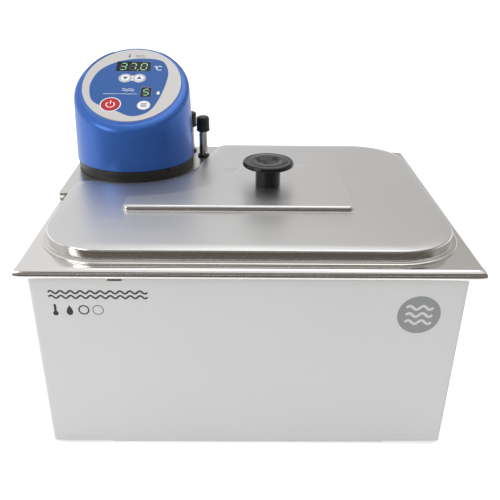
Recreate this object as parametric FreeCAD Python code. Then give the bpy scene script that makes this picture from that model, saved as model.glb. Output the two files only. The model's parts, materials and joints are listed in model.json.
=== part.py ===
"""Bench water bath with an immersion circulator head and a lift-off lid.

Millimetres, +Z up. The origin is the middle of the rim, on the surface the feet stand on.
+X runs to the right of someone facing the bath, and +Y away from them.
"""
import FreeCAD
import Part

import math
import os

V = FreeCAD.Vector
UP = V(0, 0, 1)

# ---- driving sizes -------------------------------------------------------------------------
RIM_LENGTH = 325.0          # pan rim, along X
RIM_WIDTH = 265.0           # pan rim, along Y
RIM_TOP = 158.8             # top face of the rim above the bench
HOUSING_RADIUS = 54.0       # circulator head, at its lower edge
PLATE_RISE = 7.0            # top of the bridge plate above the rim
TUBE_RADIUS = 4.0           # hose tubes

# ---- clearances ----------------------------------------------------------------------------
RUN_GAP = 0.05              # radial gap of a fit
SEAT_GAP = 0.2              # gap round a piece set into another
MOVE_GAP = 0.4              # gap between pieces that move past each other
EXTRA = 1.0                 # how far a cutting shape runs past what it cuts
SAME = 0.001                # lengths closer than this count as equal
CORNER_REACH = 1.0          # an upright edge this near a plan point is the one meant
DIAGONAL = math.sqrt(0.5)   # share of a quarter turn's radius at its middle

# ---- casing and feet -----------------------------------------------------------------------
CASE_SIDE_INSET = 9.0       # rim beyond the casing, left and right
CASE_FRONT_INSET = 5.0      # rim beyond the casing, front and back
CASE_OFFSET_X = -1.0        # the pan sits this far off the casing's middle
CASE_SHEET = 1.0
CASE_CORNER = 3.0
CASE_LIP = 3.0              # inward lip that carries the rim on the long sides
EDGE_RELIEF = 1.0           # how much higher the front edge is towards its ends
RELIEF_LENGTH = 46.5
LATCH_SLOT_INSET = 60.5
LATCH_SLOT_LENGTH = 10.0
LATCH_SLOT_HEIGHT = 1.4
FOOT_HEIGHT = 2.0
FOOT_RADIUS = 8.0
FOOT_INSET = 20.0
BASE_SHEET = 1.2
BASE_UPSTAND = 14.0
BASE_INNER_CORNER = 1.0
FOAM_BASE = 9.0
FOAM_CORNER = 24.0
FOAM_DROP = 40.8            # top of the foam jacket below the rim
FOAM_GAP = 0.6
CASE_SCREW_RADIUS = 1.5
CASE_SCREW_HEAD = 3.0
CASE_SCREW_HEAD_HEIGHT = 1.6
CASE_SCREW_LENGTH = 6.0
CASE_SCREW_Z = 9.0
CASE_SCREW_INSET = 43.5

# ---- pan -----------------------------------------------------------------------------------
PAN_SHEET = 1.0
FLANGE_SIDE = 13.0          # rim outline to well, left and right
FLANGE_FRONT = 12.5
WELL_CORNER = 48.0
WELL_DRAFT = 7.0            # how much each wall leans in by the floor
FLOOR_FILLET = 12.0
BEAD_RADIUS = 4.2           # rolled edge of the rim

# ---- bridge plate, from the rim's outline and the head's wall --------------------------------
PLATE_SIDE_INSET = 1.5
PLATE_BACK_INSET = 9.5
PLATE_PAST_HEAD_RIGHT = 33.5
PLATE_PAST_HEAD_FRONT = 24.7
PLATE_SHEET = 1.5
HEAD_SIDE_INSET = 1.5       # plate's left edge to the head's wall
HEAD_BACK_OVERHANG = 1.7    # head's wall past the plate's back edge

# ---- circulator head -------------------------------------------------------------------------
GASKET_HEIGHT = 0.8
GASKET_WIDTH = 4.0
BASE_HEIGHT = 7.8           # black base, from gasket to housing
BASE_STEP = 0.8             # base wall inside the housing's wall
BASE_FLOOR = 4.0
BASE_WALL = 3.0
HOUSING_DRAFT = 0.036       # lean of the wall, mm for each mm of height
HOUSING_WALL = 2.5
HOUSING_EDGE = 4.5          # rounding of the slanted top's edge
PANEL_SLANT = 26.8          # degrees, facing the front
PANEL_RISE = 65.1           # panel's middle above the housing's lower edge
SPIGOT_WALL = 2.2
SPIGOT_LEDGE = 2.5
BASE_SCREW_RADIUS = 2.0
BASE_SCREW_HEAD = 3.5
BASE_SCREW_HEAD_HEIGHT = 2.0
BASE_SCREW_INSET = 10.0
BASE_SCREW_BEARINGS = (-90, 60, 180)
SIDE_SCREW_RADIUS = 1.2
SIDE_SCREW_HEAD = 1.7
SIDE_SCREW_SINK = 1.0
SIDE_SCREW_BEARINGS = (-170, -50, 70)

# ---- panel, in its own plane: u to the right, v up the slope, n out of the face --------------
PANEL_MARGIN = 9.8          # housing's lower edge to the panel, in plan
PANEL_THICK = 1.2
PANEL_PROUD = 0.2
LEDGE_WIDTH = 4.0
LEDGE_THICK = 2.5
KEY_PROUD = 0.3             # how far a key stands above the panel
KEY_COLLAR = 1.0
KEY_COLLAR_REACH = 0.9      # collar's extra radius, behind the panel
KEY_PLUNGER = 1.5
KEY_PLUNGER_LENGTH = 1.8
KEY_SWITCH_ROOM = 0.8
SWITCH_HALF = 3.0
BOARD_DEPTH = 9.4           # board's face below the panel's plane
BOARD_THICK = 1.6
BOARD_SHARE_U = 36.5 / 54   # board's half width to the housing's radius
BOARD_SHARE_V = 33.0 / 54
BOARD_CORNER = 6.0
STANDOFF_INSET_U = 3.0      # board's edge to the standoff
STANDOFF_INSET_V = 2.0
STANDOFF_RADIUS = 2.0
KEYS = {                    # name: (u, v, radius)
    "power_button": (-15.9, -28.1, 7.8),
    "down_button": (-6.7, 7.7, 5.2),
    "up_button": (5.9, 7.7, 5.2),
    "mode_button": (13.2, -28.9, 5.6),
}
DISPLAYS = {                # name: (u, v, half width, half height)
    "temperature_display": (-0.7, 24.5, 15.5, 6.8),
    "flow_display": (13.7, -11.2, 4.5, 6.4),
}
POWER_BOARD_INSET = 27.0    # housing's radius to the upright board
POWER_BOARD_HALF_Y = 26.0
POWER_BOARD_HEIGHT = 38.0
TRANSFORMER_THICK = 12.0
TRANSFORMER_WIDE = 24.0
TRANSFORMER_TALL = 22.0

# ---- mains inlet -----------------------------------------------------------------------------
INLET_HALF_X = 13.8
INLET_HALF_Z = 10.3
INLET_RISE = 23.6           # middle of the inlet above the housing's lower edge
INLET_SINK = 2.6            # inlet's face inside the housing's lower edge
INLET_DEPTH = 22.0
SOCKET_HALF_X = 12.2
SOCKET_HALF_Z = 8.6
SOCKET_DEPTH = 16.0
PIN_HALF_X = 1.0
PIN_HALF_Z = 2.0
PIN_SPACING = 7.0
PIN_LENGTH = 12.0
PIN_OFFSET_Z = 2.0

# ---- pump --------------------------------------------------------------------------------------
MOTOR_RADIUS = 18.0
MOTOR_HEIGHT = 36.0
MOTOR_FLANGE_RADIUS = 24.0
MOTOR_FLANGE = 3.0
SHAFT_RADIUS = 2.5
SHAFT_INTO_MOTOR = 20.0
STEM_RADIUS = 8.0
STEM_WALL = 1.5
STEM_FLANGE_RADIUS = 17.0
STEM_FLANGE = 3.0
PUMP_OFF_FLOOR = 20.2
PUMP_HEIGHT = 26.0
PUMP_RADIUS = 27.0
PUMP_COVER = 3.0
INTAKE_RADIUS = 8.0
CHAMBER_GAP = 2.0           # room round the impeller
IMPELLER_RADIUS = 19.0
IMPELLER_DISC = 2.0
IMPELLER_VANE_HEIGHT = 10.0
IMPELLER_VANE = 1.6
IMPELLER_HUB = 5.0
IMPELLER_VANES = 6
BUSH_HEIGHT = 8.0
NOZZLE_WALL = 3.0
NOZZLE_REACH = 12.0
NOZZLE_SOCKET = 6.0         # how much of the nozzle holds the tube
COVER_SCREW_RADIUS = 1.2
COVER_SCREW_HEAD = 2.2
COVER_SCREW_HEAD_HEIGHT = 1.6
COVER_SCREW_GRIP = 7.0
COVER_SCREW_INSET = 3.2
COVER_SCREW_BEARINGS = (-110, 130, 60, -20)

# ---- immersed heater, probe and float ----------------------------------------------------------
HEATER_RADIUS = 4.0
HEATER_INSET = 23.0         # housing's radius to the heater's ring
HEATER_OVER_PUMP = 14.0
HEATER_BEND = 12.0
HEATER_START = 130.0        # degrees round the head's axis
HEATER_SWEEP = 290.0
TERMINAL = 6.0              # how far heater, probe and stem stand above the head's floor
PROBE_RADIUS = 2.0
PROBE_BEARING = -28.0
PROBE_INSET = 14.0
PROBE_OVER_PUMP_BASE = 10.0
LEVEL_BEARING = -62.0
LEVEL_INSET = 13.0
LEVEL_STEM_RADIUS = 3.0
LEVEL_DROP = 56.3           # end of the stem below the plate
LEVEL_STOP_RADIUS = 5.0
LEVEL_STOP = 2.0
FLOAT_RADIUS = 9.0
FLOAT_HEIGHT = 18.0
FLOAT_TRAVEL = 8.0
FLOAT_BORE_GAP = 0.5
FLOAT_EDGE = 1.5
NUT_HEIGHT = 5.0
NUT_WALL = 2.0              # nut's flats beyond what it clamps

# ---- hose tubes, round the head ------------------------------------------------------------------
TUBE_WALL = 1.0
OUTLET_BEARING = 19.0
OUTLET_GAP = 11.5           # housing's lower edge to the tube's axis
RETURN_BEARING = 37.6
RETURN_GAP = 7.2
TUBE_RISE = 36.7            # end of the tubes above the plate
RETURN_OVER_PUMP = 15.0
TUBE_BEND = 14.0
CAP_WALL = 2.5
CAP_HEIGHT = 14.0
CAP_ROOF = 2.6
CAP_EDGE = 2.2
GROMMET_WALL = 1.6
GROMMET_HEIGHT = 1.6

# ---- lid -----------------------------------------------------------------------------------------
LID_SIDE_INSET = 11.5       # rim outline to the lid's wall
LID_FRONT_INSET = 12.0
LID_CORNER = 47.0
LID_SHEET = 1.0
LID_ROOM = 2.0              # lowest wall left under the top sheet, over the bridge plate
LID_FOOT = 4.5
LID_FOOT_THICK = 1.8        # the foot is hemmed, so thicker than the sheet
LID_TOP_EDGE = 1.6
CUTOUT_GAP = 7.5            # lid's edge round the housing
CUTOUT_CORNER = 15.0
CUTOUT_END = -6.0           # bearing at which the arc gives way to the flared side
CAP_PASSING_GAP = 0.8       # lid's edge past the outlet tube's cap
CUTOUT_BACK_CORNER = 10.0
PLATEAU_RISE = 4.0
PLATEAU_SINK = 0.5          # how deep the plateau's solid starts in the top sheet
PLATEAU_RIGHT_INSET = 70.0
PLATEAU_FRONT_INSET = 66.5
PLATEAU_LEFT_OF_HEAD = 6.5  # plateau's left end past the head's axis
PLATEAU_BACK_OF_HEAD = 23.7
PLATEAU_STRIP = 22.2        # plateau's least width in front of its hollow
PLATEAU_CORNER = 4.0
KNOB_FROM_RIGHT = 65.5
KNOB_FROM_FRONT = 50.0
KNOB_HEIGHT = 20.8
KNOB_STEM_RADIUS = 10.5
KNOB_CAP_RADIUS = 21.2
KNOB_CAP_EDGE = 4.2
KNOB_FLARE = 2.0
KNOB_ROUNDING = 1.2
KNOB_CROWN = 5.0
KNOB_DISH_RADIUS = 10.0
KNOB_DISH_DEPTH = 2.2
KNOB_DISH_SLOPE = 2.0
KNOB_DIMPLE_RADIUS = 2.2
KNOB_DIMPLE_DEPTH = 1.0
KNOB_SCREW_RADIUS = 2.5
KNOB_SCREW_INSERT = 9.0
KNOB_SCREW_HEAD = 4.0
KNOB_SCREW_HEAD_HEIGHT = 2.4
WASHER_RADIUS = 7.0
WASHER_HEIGHT = 1.0

# ---- worked out: plan ----------------------------------------------------------------------------
CASE_LENGTH = RIM_LENGTH - 2 * CASE_SIDE_INSET
CASE_WIDTH = RIM_WIDTH - 2 * CASE_FRONT_INSET
WELL_LENGTH = RIM_LENGTH - 2 * FLANGE_SIDE
WELL_WIDTH = RIM_WIDTH - 2 * FLANGE_FRONT
LID_LENGTH = RIM_LENGTH - 2 * LID_SIDE_INSET
LID_WIDTH = RIM_WIDTH - 2 * LID_FRONT_INSET
PLATE_LEFT = PLATE_SIDE_INSET - RIM_LENGTH / 2
PLATE_BACK = RIM_WIDTH / 2 - PLATE_BACK_INSET
HEAD_X = PLATE_LEFT + HEAD_SIDE_INSET + HOUSING_RADIUS
HEAD_Y = PLATE_BACK + HEAD_BACK_OVERHANG - HOUSING_RADIUS
PLATE_RIGHT = HEAD_X + HOUSING_RADIUS + PLATE_PAST_HEAD_RIGHT
PLATE_FRONT = HEAD_Y - HOUSING_RADIUS - PLATE_PAST_HEAD_FRONT
BASE_RADIUS = HOUSING_RADIUS - BASE_STEP
PANEL_HALF_U = HOUSING_RADIUS - PANEL_MARGIN
PANEL_HALF_V = PANEL_HALF_U / math.cos(math.radians(PANEL_SLANT))
BOARD_HALF_U = HOUSING_RADIUS * BOARD_SHARE_U
BOARD_HALF_V = HOUSING_RADIUS * BOARD_SHARE_V
HEATER_RING = HOUSING_RADIUS - HEATER_INSET
CUTOUT_RADIUS = HOUSING_RADIUS + CUTOUT_GAP
CAP_RADIUS = TUBE_RADIUS + CAP_WALL
NOZZLE_RADIUS = TUBE_RADIUS + NOZZLE_WALL
PLATEAU_LEFT = HEAD_X + PLATEAU_LEFT_OF_HEAD
PLATEAU_RIGHT = LID_LENGTH / 2 - PLATEAU_RIGHT_INSET
PLATEAU_FRONT = PLATEAU_FRONT_INSET - LID_WIDTH / 2
PLATEAU_BACK = HEAD_Y - PLATEAU_BACK_OF_HEAD
PLATEAU_ARC = HEAD_Y - PLATEAU_FRONT - PLATEAU_STRIP
KNOB_X = PLATEAU_RIGHT - KNOB_FROM_RIGHT
KNOB_Y = PLATEAU_FRONT + KNOB_FROM_FRONT

# ---- worked out: heights --------------------------------------------------------------------------
PAN_FLOOR = FOOT_HEIGHT + BASE_SHEET + FOAM_BASE + FOAM_GAP + PAN_SHEET
PAN_DEPTH = RIM_TOP - PAN_FLOOR
CASE_TOP = RIM_TOP - PAN_SHEET
LID_TOP = RIM_TOP + PLATE_RISE + MOVE_GAP + LID_ROOM + LID_SHEET
PLATEAU_TOP = LID_TOP + PLATEAU_RISE
PLATE_TOP = RIM_TOP + PLATE_RISE
PLATE_UNDER = PLATE_TOP - PLATE_SHEET
GASKET_TOP = PLATE_TOP + GASKET_HEIGHT
BASE_FLOOR_TOP = GASKET_TOP + BASE_FLOOR
TERMINAL_TOP = BASE_FLOOR_TOP + TERMINAL
HOUSING_Z = GASKET_TOP + BASE_HEIGHT
PANEL_Z = HOUSING_Z + PANEL_RISE
PANEL_BACK = PANEL_PROUD - PANEL_THICK
LEDGE_UNDER = PANEL_BACK - LEDGE_THICK
BOARD_TOP = -BOARD_DEPTH
KEY_COLLAR_TOP = PANEL_BACK - SEAT_GAP
KEY_END = KEY_COLLAR_TOP - KEY_COLLAR - KEY_PLUNGER_LENGTH
INLET_Z = HOUSING_Z + INLET_RISE
INLET_FACE = HEAD_Y + HOUSING_RADIUS - INLET_SINK
PUMP_BOTTOM = PAN_FLOOR + PUMP_OFF_FLOOR
PUMP_TOP = PUMP_BOTTOM + PUMP_HEIGHT
IMPELLER_Z = PUMP_BOTTOM + PUMP_COVER + CHAMBER_GAP
IMPELLER_TOP = IMPELLER_Z + IMPELLER_VANE_HEIGHT + IMPELLER_DISC
NOZZLE_Z = PUMP_BOTTOM + PUMP_COVER + NOZZLE_RADIUS + EXTRA
HEATER_Z = PUMP_TOP + HEATER_OVER_PUMP
LEVEL_END = PLATE_UNDER - LEVEL_DROP
FLOAT_Z = LEVEL_END + LEVEL_STOP + MOVE_GAP
TUBE_TOP = PLATE_TOP + TUBE_RISE


# ---- shapes used again -----------------------------------------------------------------------
def block(x0, x1, y0, y1, z0, z1):
    """Box between two corners."""
    return Part.makeBox(x1 - x0, y1 - y0, z1 - z0, V(x0, y0, z0))


def rod(x, y, z0, z1, radius):
    """Upright cylinder."""
    return Part.makeCylinder(radius, z1 - z0, V(x, y, z0))


def ring(x, y, z0, z1, outer, inner):
    """Upright tube."""
    return rod(x, y, z0, z1, outer).cut(rod(x, y, z0 - EXTRA, z1 + EXTRA, inner))


def rounded_rectangle(half_x, half_y, corner, z, x=0.0, y=0.0):
    """Closed wire: a rectangle with four equal corner arcs, level at height z."""
    turn = corner * (1 - DIAGONAL)
    edges = []
    for sx, sy in ((1, 1), (-1, 1), (-1, -1), (1, -1)):
        along = V(x + sx * half_x, y + sy * (half_y - corner), z)
        across = V(x + sx * (half_x - corner), y + sy * half_y, z)
        middle = V(x + sx * (half_x - turn), y + sy * (half_y - turn), z)
        first, last = (along, across) if sx == sy else (across, along)
        edges.append((first, middle, last))
    parts = []
    for index, (first, middle, last) in enumerate(edges):
        parts.append(Part.Arc(first, middle, last).toShape())
        parts.append(Part.makeLine(last, edges[(index + 1) % 4][0]))
    return Part.Wire(parts)


def prism(wire, height):
    """Solid from a level closed wire, upward."""
    return Part.Face(wire).extrude(V(0, 0, height))


def rounded_block(half_x, half_y, corner, z0, z1, x=0.0, y=0.0):
    """Box with rounded upright corners."""
    return prism(rounded_rectangle(half_x, half_y, corner, z0, x, y), z1 - z0)


def hexagon(x, y, z0, z1, flats, bore):
    """Hex nut with a plain bore."""
    reach = flats / 2 / math.cos(math.pi / 6)
    corners = [V(x + reach * math.cos(i * math.pi / 3), y + reach * math.sin(i * math.pi / 3), z0)
               for i in range(6)]
    body = prism(Part.makePolygon(corners + corners[:1]), z1 - z0)
    return body.cut(rod(x, y, z0 - EXTRA, z1 + EXTRA, bore))


def edges_at(shape, z):
    """Edges of a shape that lie wholly at one height."""
    return [e for e in shape.Edges if abs(e.BoundBox.ZMin - z) < SAME and abs(e.BoundBox.ZMax - z) < SAME]


def upright_edges_near(shape, places, reach=CORNER_REACH):
    """Upright edges that pass within reach of any of the plan points."""
    found = []
    for edge in shape.Edges:
        b = edge.BoundBox
        if b.XLength > SAME or b.YLength > SAME or b.ZLength < SAME:
            continue
        if any(math.hypot(b.XMin - x, b.YMin - y) < reach for x, y in places):
            found.append(edge)
    return found


def around_head(radius, degrees):
    """Plan point at a distance and a bearing from the head's axis."""
    bearing = math.radians(degrees)
    return HEAD_X + radius * math.cos(bearing), HEAD_Y + radius * math.sin(bearing)


def on_panel(shape):
    """Turn a shape drawn in the panel's (u, v, n) into place on the slanted top."""
    placed = shape.copy()
    placed.rotate(V(0, 0, 0), V(1, 0, 0), PANEL_SLANT)
    placed.translate(V(HEAD_X, HEAD_Y, PANEL_Z))
    return placed


def oval(half_u, half_v, n0, n1):
    """Upright elliptic prism, longer along v."""
    curve = Part.Ellipse(V(0, half_v, n0), V(half_u, 0, n0), V(0, 0, n0))
    return prism(Part.Wire(curve.toShape()), n1 - n0)


def swept_rod(path_edges, start, direction, radius):
    """Round rod along a smooth path of lines and arcs."""
    section = Part.Wire(Part.makeCircle(radius, start, direction))
    return Part.Wire(path_edges).makePipeShell([section], True, False)


def save(node, *solids):
    """Write one node as a STEP file."""
    shape = solids[0] if len(solids) == 1 else Part.makeCompound(list(solids))
    shape.exportStep(os.path.join("parts", node + ".step"))


# ---- pan and casing ----------------------------------------------------------------------------
def well(grow, z0, z1):
    """Space inside the pan's walls, grown outward, between two heights."""
    def section(z):
        lean = WELL_DRAFT * (RIM_TOP - z) / PAN_DEPTH
        return rounded_rectangle(WELL_LENGTH / 2 + grow - lean, WELL_WIDTH / 2 + grow - lean,
                                 WELL_CORNER + grow - lean, z)
    return Part.makeLoft([section(z0), section(z1)], True, True)


def rim_bead():
    """Half-round rolled edge with mitred corners."""
    half_x = RIM_LENGTH / 2 - BEAD_RADIUS
    half_y = RIM_WIDTH / 2 - BEAD_RADIUS
    inner = BEAD_RADIUS - PAN_SHEET
    centre = RIM_TOP - BEAD_RADIUS
    start = V(half_x, 0, centre)
    corners = [V(half_x, half_y, centre), V(-half_x, half_y, centre),
               V(-half_x, -half_y, centre), V(half_x, -half_y, centre)]
    spine = Part.makePolygon([start] + corners + [start])

    def at(radius, degrees):
        bend = math.radians(degrees)
        return V(half_x + radius * math.cos(bend), 0, centre + radius * math.sin(bend))

    section = Part.Wire([
        Part.Arc(at(BEAD_RADIUS, 90), at(BEAD_RADIUS, 0), at(BEAD_RADIUS, -90)).toShape(),
        Part.makeLine(at(BEAD_RADIUS, -90), at(inner, -90)),
        Part.Arc(at(inner, -90), at(inner, 0), at(inner, 90)).toShape(),
        Part.makeLine(at(inner, 90), at(BEAD_RADIUS, 90))])
    return spine.makePipeShell([section], True, False, 1)


def bath_pan():
    flange = block(BEAD_RADIUS - RIM_LENGTH / 2, RIM_LENGTH / 2 - BEAD_RADIUS,
                   BEAD_RADIUS - RIM_WIDTH / 2, RIM_WIDTH / 2 - BEAD_RADIUS, CASE_TOP, RIM_TOP)
    outer = well(PAN_SHEET, PAN_FLOOR - PAN_SHEET, RIM_TOP)
    outer = outer.makeFillet(FLOOR_FILLET + PAN_SHEET, edges_at(outer, PAN_FLOOR - PAN_SHEET))
    inner = well(0, PAN_FLOOR, RIM_TOP)
    inner = inner.makeFillet(FLOOR_FILLET, edges_at(inner, PAN_FLOOR))
    return flange.fuse([outer, rim_bead()]).cut(inner).removeSplitter()


def casing():
    half_x = CASE_LENGTH / 2
    half_y = CASE_WIDTH / 2
    x = CASE_OFFSET_X
    shell = rounded_block(half_x, half_y, CASE_CORNER, FOOT_HEIGHT, CASE_TOP, x)
    hollow = rounded_block(half_x - CASE_SHEET, half_y - CASE_SHEET, CASE_CORNER - CASE_SHEET,
                           FOOT_HEIGHT - EXTRA, CASE_TOP - CASE_SHEET, x)
    mouth = block(x - half_x + CASE_SHEET, x + half_x - CASE_SHEET, CASE_LIP - half_y, half_y - CASE_LIP,
                  CASE_TOP - CASE_SHEET - EXTRA, CASE_TOP + EXTRA)
    shell = shell.cut([hollow, mouth])
    for side in (-1, 1):
        inner_end = side * (half_x - RELIEF_LENGTH)
        low, high = sorted((inner_end, side * RIM_LENGTH / 2))
        shell = shell.cut(block(low, high, -half_y - EXTRA, CASE_CORNER - half_y,
                                FOOT_HEIGHT - EXTRA, FOOT_HEIGHT + EDGE_RELIEF))
    slot_top = RIM_TOP - 2 * BEAD_RADIUS - EXTRA
    slot_x = x - half_x + LATCH_SLOT_INSET
    slot = block(slot_x - LATCH_SLOT_LENGTH / 2, slot_x + LATCH_SLOT_LENGTH / 2, -half_y - EXTRA,
                 EXTRA - half_y + CASE_SHEET, slot_top - LATCH_SLOT_HEIGHT, slot_top)
    return shell.cut([slot] + casing_screw_holes())


def casing_screw_places():
    """Start point and inward direction of each screw that ties casing to base."""
    half_x = CASE_LENGTH / 2
    half_y = CASE_WIDTH / 2
    x = CASE_OFFSET_X
    reach = half_x - CASE_SCREW_INSET
    return [(V(x - reach, half_y, CASE_SCREW_Z), V(0, -1, 0)),
            (V(x + reach, half_y, CASE_SCREW_Z), V(0, -1, 0)),
            (V(x - half_x, 0, CASE_SCREW_Z), V(1, 0, 0)),
            (V(x + half_x, 0, CASE_SCREW_Z), V(-1, 0, 0))]


def casing_screw_holes():
    return [Part.makeCylinder(CASE_SCREW_RADIUS + RUN_GAP, CASE_SCREW_LENGTH, start - inward, inward)
            for start, inward in casing_screw_places()]


def casing_screws():
    screws = []
    for start, inward in casing_screw_places():
        shank = Part.makeCylinder(CASE_SCREW_RADIUS, CASE_SCREW_LENGTH - EXTRA, start, inward)
        head = Part.makeCylinder(CASE_SCREW_HEAD, CASE_SCREW_HEAD_HEIGHT, start, inward * -1)
        screws.append(shank.fuse(head))
    return screws


def base_plate():
    half_x = CASE_LENGTH / 2 - CASE_SHEET - SEAT_GAP
    half_y = CASE_WIDTH / 2 - CASE_SHEET - SEAT_GAP
    corner = CASE_CORNER - CASE_SHEET
    tray = rounded_block(half_x, half_y, corner, FOOT_HEIGHT, FOOT_HEIGHT + BASE_UPSTAND, CASE_OFFSET_X)
    inside = rounded_block(half_x - BASE_SHEET, half_y - BASE_SHEET, BASE_INNER_CORNER,
                           FOOT_HEIGHT + BASE_SHEET, FOOT_HEIGHT + BASE_UPSTAND + EXTRA, CASE_OFFSET_X)
    return tray.cut([inside] + casing_screw_holes())


def feet():
    pads = []
    for sx in (-1, 1):
        for sy in (-1, 1):
            x = CASE_OFFSET_X + sx * (CASE_LENGTH / 2 - FOOT_INSET)
            y = sy * (CASE_WIDTH / 2 - FOOT_INSET)
            pads.append(rod(x, y, 0, FOOT_HEIGHT, FOOT_RADIUS))
    return pads


def insulation_base():
    bottom = FOOT_HEIGHT + BASE_SHEET
    half_x = WELL_LENGTH / 2 - WELL_DRAFT - FLOOR_FILLET
    half_y = WELL_WIDTH / 2 - WELL_DRAFT - FLOOR_FILLET
    return rounded_block(half_x, half_y, FOAM_CORNER, bottom, bottom + FOAM_BASE)


def insulation_wrap():
    bottom = FOOT_HEIGHT + BASE_UPSTAND + FOAM_GAP
    half_x = CASE_LENGTH / 2 - CASE_SHEET - FOAM_GAP
    half_y = CASE_WIDTH / 2 - CASE_SHEET - FOAM_GAP
    sleeve = rounded_block(half_x, half_y, CASE_CORNER, bottom, RIM_TOP - FOAM_DROP, CASE_OFFSET_X)
    return sleeve.cut(well(PAN_SHEET + FOAM_GAP, PAN_FLOOR - PAN_SHEET - EXTRA, RIM_TOP))


# ---- bridge plate and head ---------------------------------------------------------------------
def plate_cut(x, y, radius):
    """Cutter for a round hole through the bridge plate."""
    return rod(x, y, PLATE_UNDER - EXTRA, BASE_FLOOR_TOP + EXTRA, radius)


def probe_place():
    return around_head(HOUSING_RADIUS - PROBE_INSET, PROBE_BEARING)


def level_place():
    return around_head(HOUSING_RADIUS - LEVEL_INSET, LEVEL_BEARING)


def head_floor_holes():
    """Cutters for what passes through the plate and the head's floor."""
    holes = [plate_cut(HEAD_X, HEAD_Y, SHAFT_RADIUS + MOVE_GAP)]
    holes += [plate_cut(x, y, HEATER_RADIUS + SEAT_GAP) for x, y in heater_legs()]
    holes.append(plate_cut(*probe_place(), PROBE_RADIUS + SEAT_GAP))
    holes.append(plate_cut(*level_place(), LEVEL_STEM_RADIUS + SEAT_GAP))
    holes += [plate_cut(x, y, BASE_SCREW_RADIUS + RUN_GAP) for x, y in base_screw_places()]
    return holes


def outlet_place():
    return around_head(HOUSING_RADIUS + OUTLET_GAP, OUTLET_BEARING)


def return_place():
    return around_head(HOUSING_RADIUS + RETURN_GAP, RETURN_BEARING)


def bridge_plate():
    outer = block(PLATE_LEFT, PLATE_RIGHT, PLATE_FRONT, PLATE_BACK, RIM_TOP, PLATE_TOP)
    inner = block(PLATE_LEFT + PLATE_SHEET, PLATE_RIGHT - PLATE_SHEET, PLATE_FRONT + PLATE_SHEET,
                  PLATE_BACK - PLATE_SHEET, RIM_TOP - EXTRA, PLATE_UNDER)
    tube_holes = [plate_cut(x, y, TUBE_RADIUS + SEAT_GAP) for x, y in (outlet_place(), return_place())]
    return outer.cut([inner] + head_floor_holes() + tube_holes)


def base_screw_places():
    return [around_head(HOUSING_RADIUS - BASE_SCREW_INSET, bearing) for bearing in BASE_SCREW_BEARINGS]


def base_screws():
    screws = []
    for x, y in base_screw_places():
        shank = rod(x, y, PLATE_UNDER, BASE_FLOOR_TOP - SEAT_GAP, BASE_SCREW_RADIUS)
        head = rod(x, y, PLATE_UNDER - BASE_SCREW_HEAD_HEIGHT, PLATE_UNDER, BASE_SCREW_HEAD)
        screws.append(shank.fuse(head))
    return screws


def head_gasket():
    return ring(HEAD_X, HEAD_Y, PLATE_TOP, GASKET_TOP, BASE_RADIUS - SEAT_GAP,
                BASE_RADIUS - GASKET_WIDTH)


def side_screw_places():
    """Start point and inward direction of each screw that ties base to housing."""
    places = []
    z = BASE_FLOOR_TOP + SIDE_SCREW_HEAD + SEAT_GAP
    for bearing in SIDE_SCREW_BEARINGS:
        x, y = around_head(BASE_RADIUS, bearing)
        inward = V(HEAD_X - x, HEAD_Y - y, 0)
        inward.normalize()
        places.append((V(x, y, z), inward))
    return places


def side_screw_cutters():
    return [Part.makeCylinder(SIDE_SCREW_RADIUS + RUN_GAP, BASE_WALL + SPIGOT_WALL + EXTRA, start, inward)
            for start, inward in side_screw_places()]


def side_screws():
    screws = []
    for start, inward in side_screw_places():
        seat = start + inward * SIDE_SCREW_SINK
        shank = Part.makeCylinder(SIDE_SCREW_RADIUS, BASE_WALL + SPIGOT_WALL - SIDE_SCREW_SINK, seat, inward)
        head_start = start + inward * SEAT_GAP
        head = Part.makeCylinder(SIDE_SCREW_HEAD, SIDE_SCREW_SINK - SEAT_GAP, head_start, inward)
        screws.append(shank.fuse(head))
    return screws


def head_base():
    body = rod(HEAD_X, HEAD_Y, GASKET_TOP, HOUSING_Z, BASE_RADIUS)
    hollow = rod(HEAD_X, HEAD_Y, BASE_FLOOR_TOP, HOUSING_Z + EXTRA, BASE_RADIUS - BASE_WALL)
    sinks = [Part.makeCylinder(SIDE_SCREW_HEAD + RUN_GAP, SIDE_SCREW_SINK + EXTRA, start - inward, inward)
             for start, inward in side_screw_places()]
    return body.cut([hollow] + head_floor_holes() + side_screw_cutters() + sinks)


def above_panel(n):
    """Everything above the panel's plane shifted along its normal."""
    return on_panel(block(-RIM_LENGTH, RIM_LENGTH, -RIM_LENGTH, RIM_LENGTH, n, n + RIM_LENGTH))


def housing_cone(inset):
    """Leaning round wall of the housing before the slanted cut, drawn smaller by inset."""
    tall = PANEL_RISE + HOUSING_RADIUS
    low = HOUSING_RADIUS - inset
    return Part.makeCone(low, low - HOUSING_DRAFT * tall, tall, V(HEAD_X, HEAD_Y, HOUSING_Z))


def inlet_block(grow, beyond):
    """Box of the mains inlet, and how far it runs out past its face."""
    return block(HEAD_X - INLET_HALF_X - grow, HEAD_X + INLET_HALF_X + grow,
                 INLET_FACE - INLET_DEPTH, INLET_FACE + beyond,
                 INLET_Z - INLET_HALF_Z - grow, INLET_Z + INLET_HALF_Z + grow)


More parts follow.
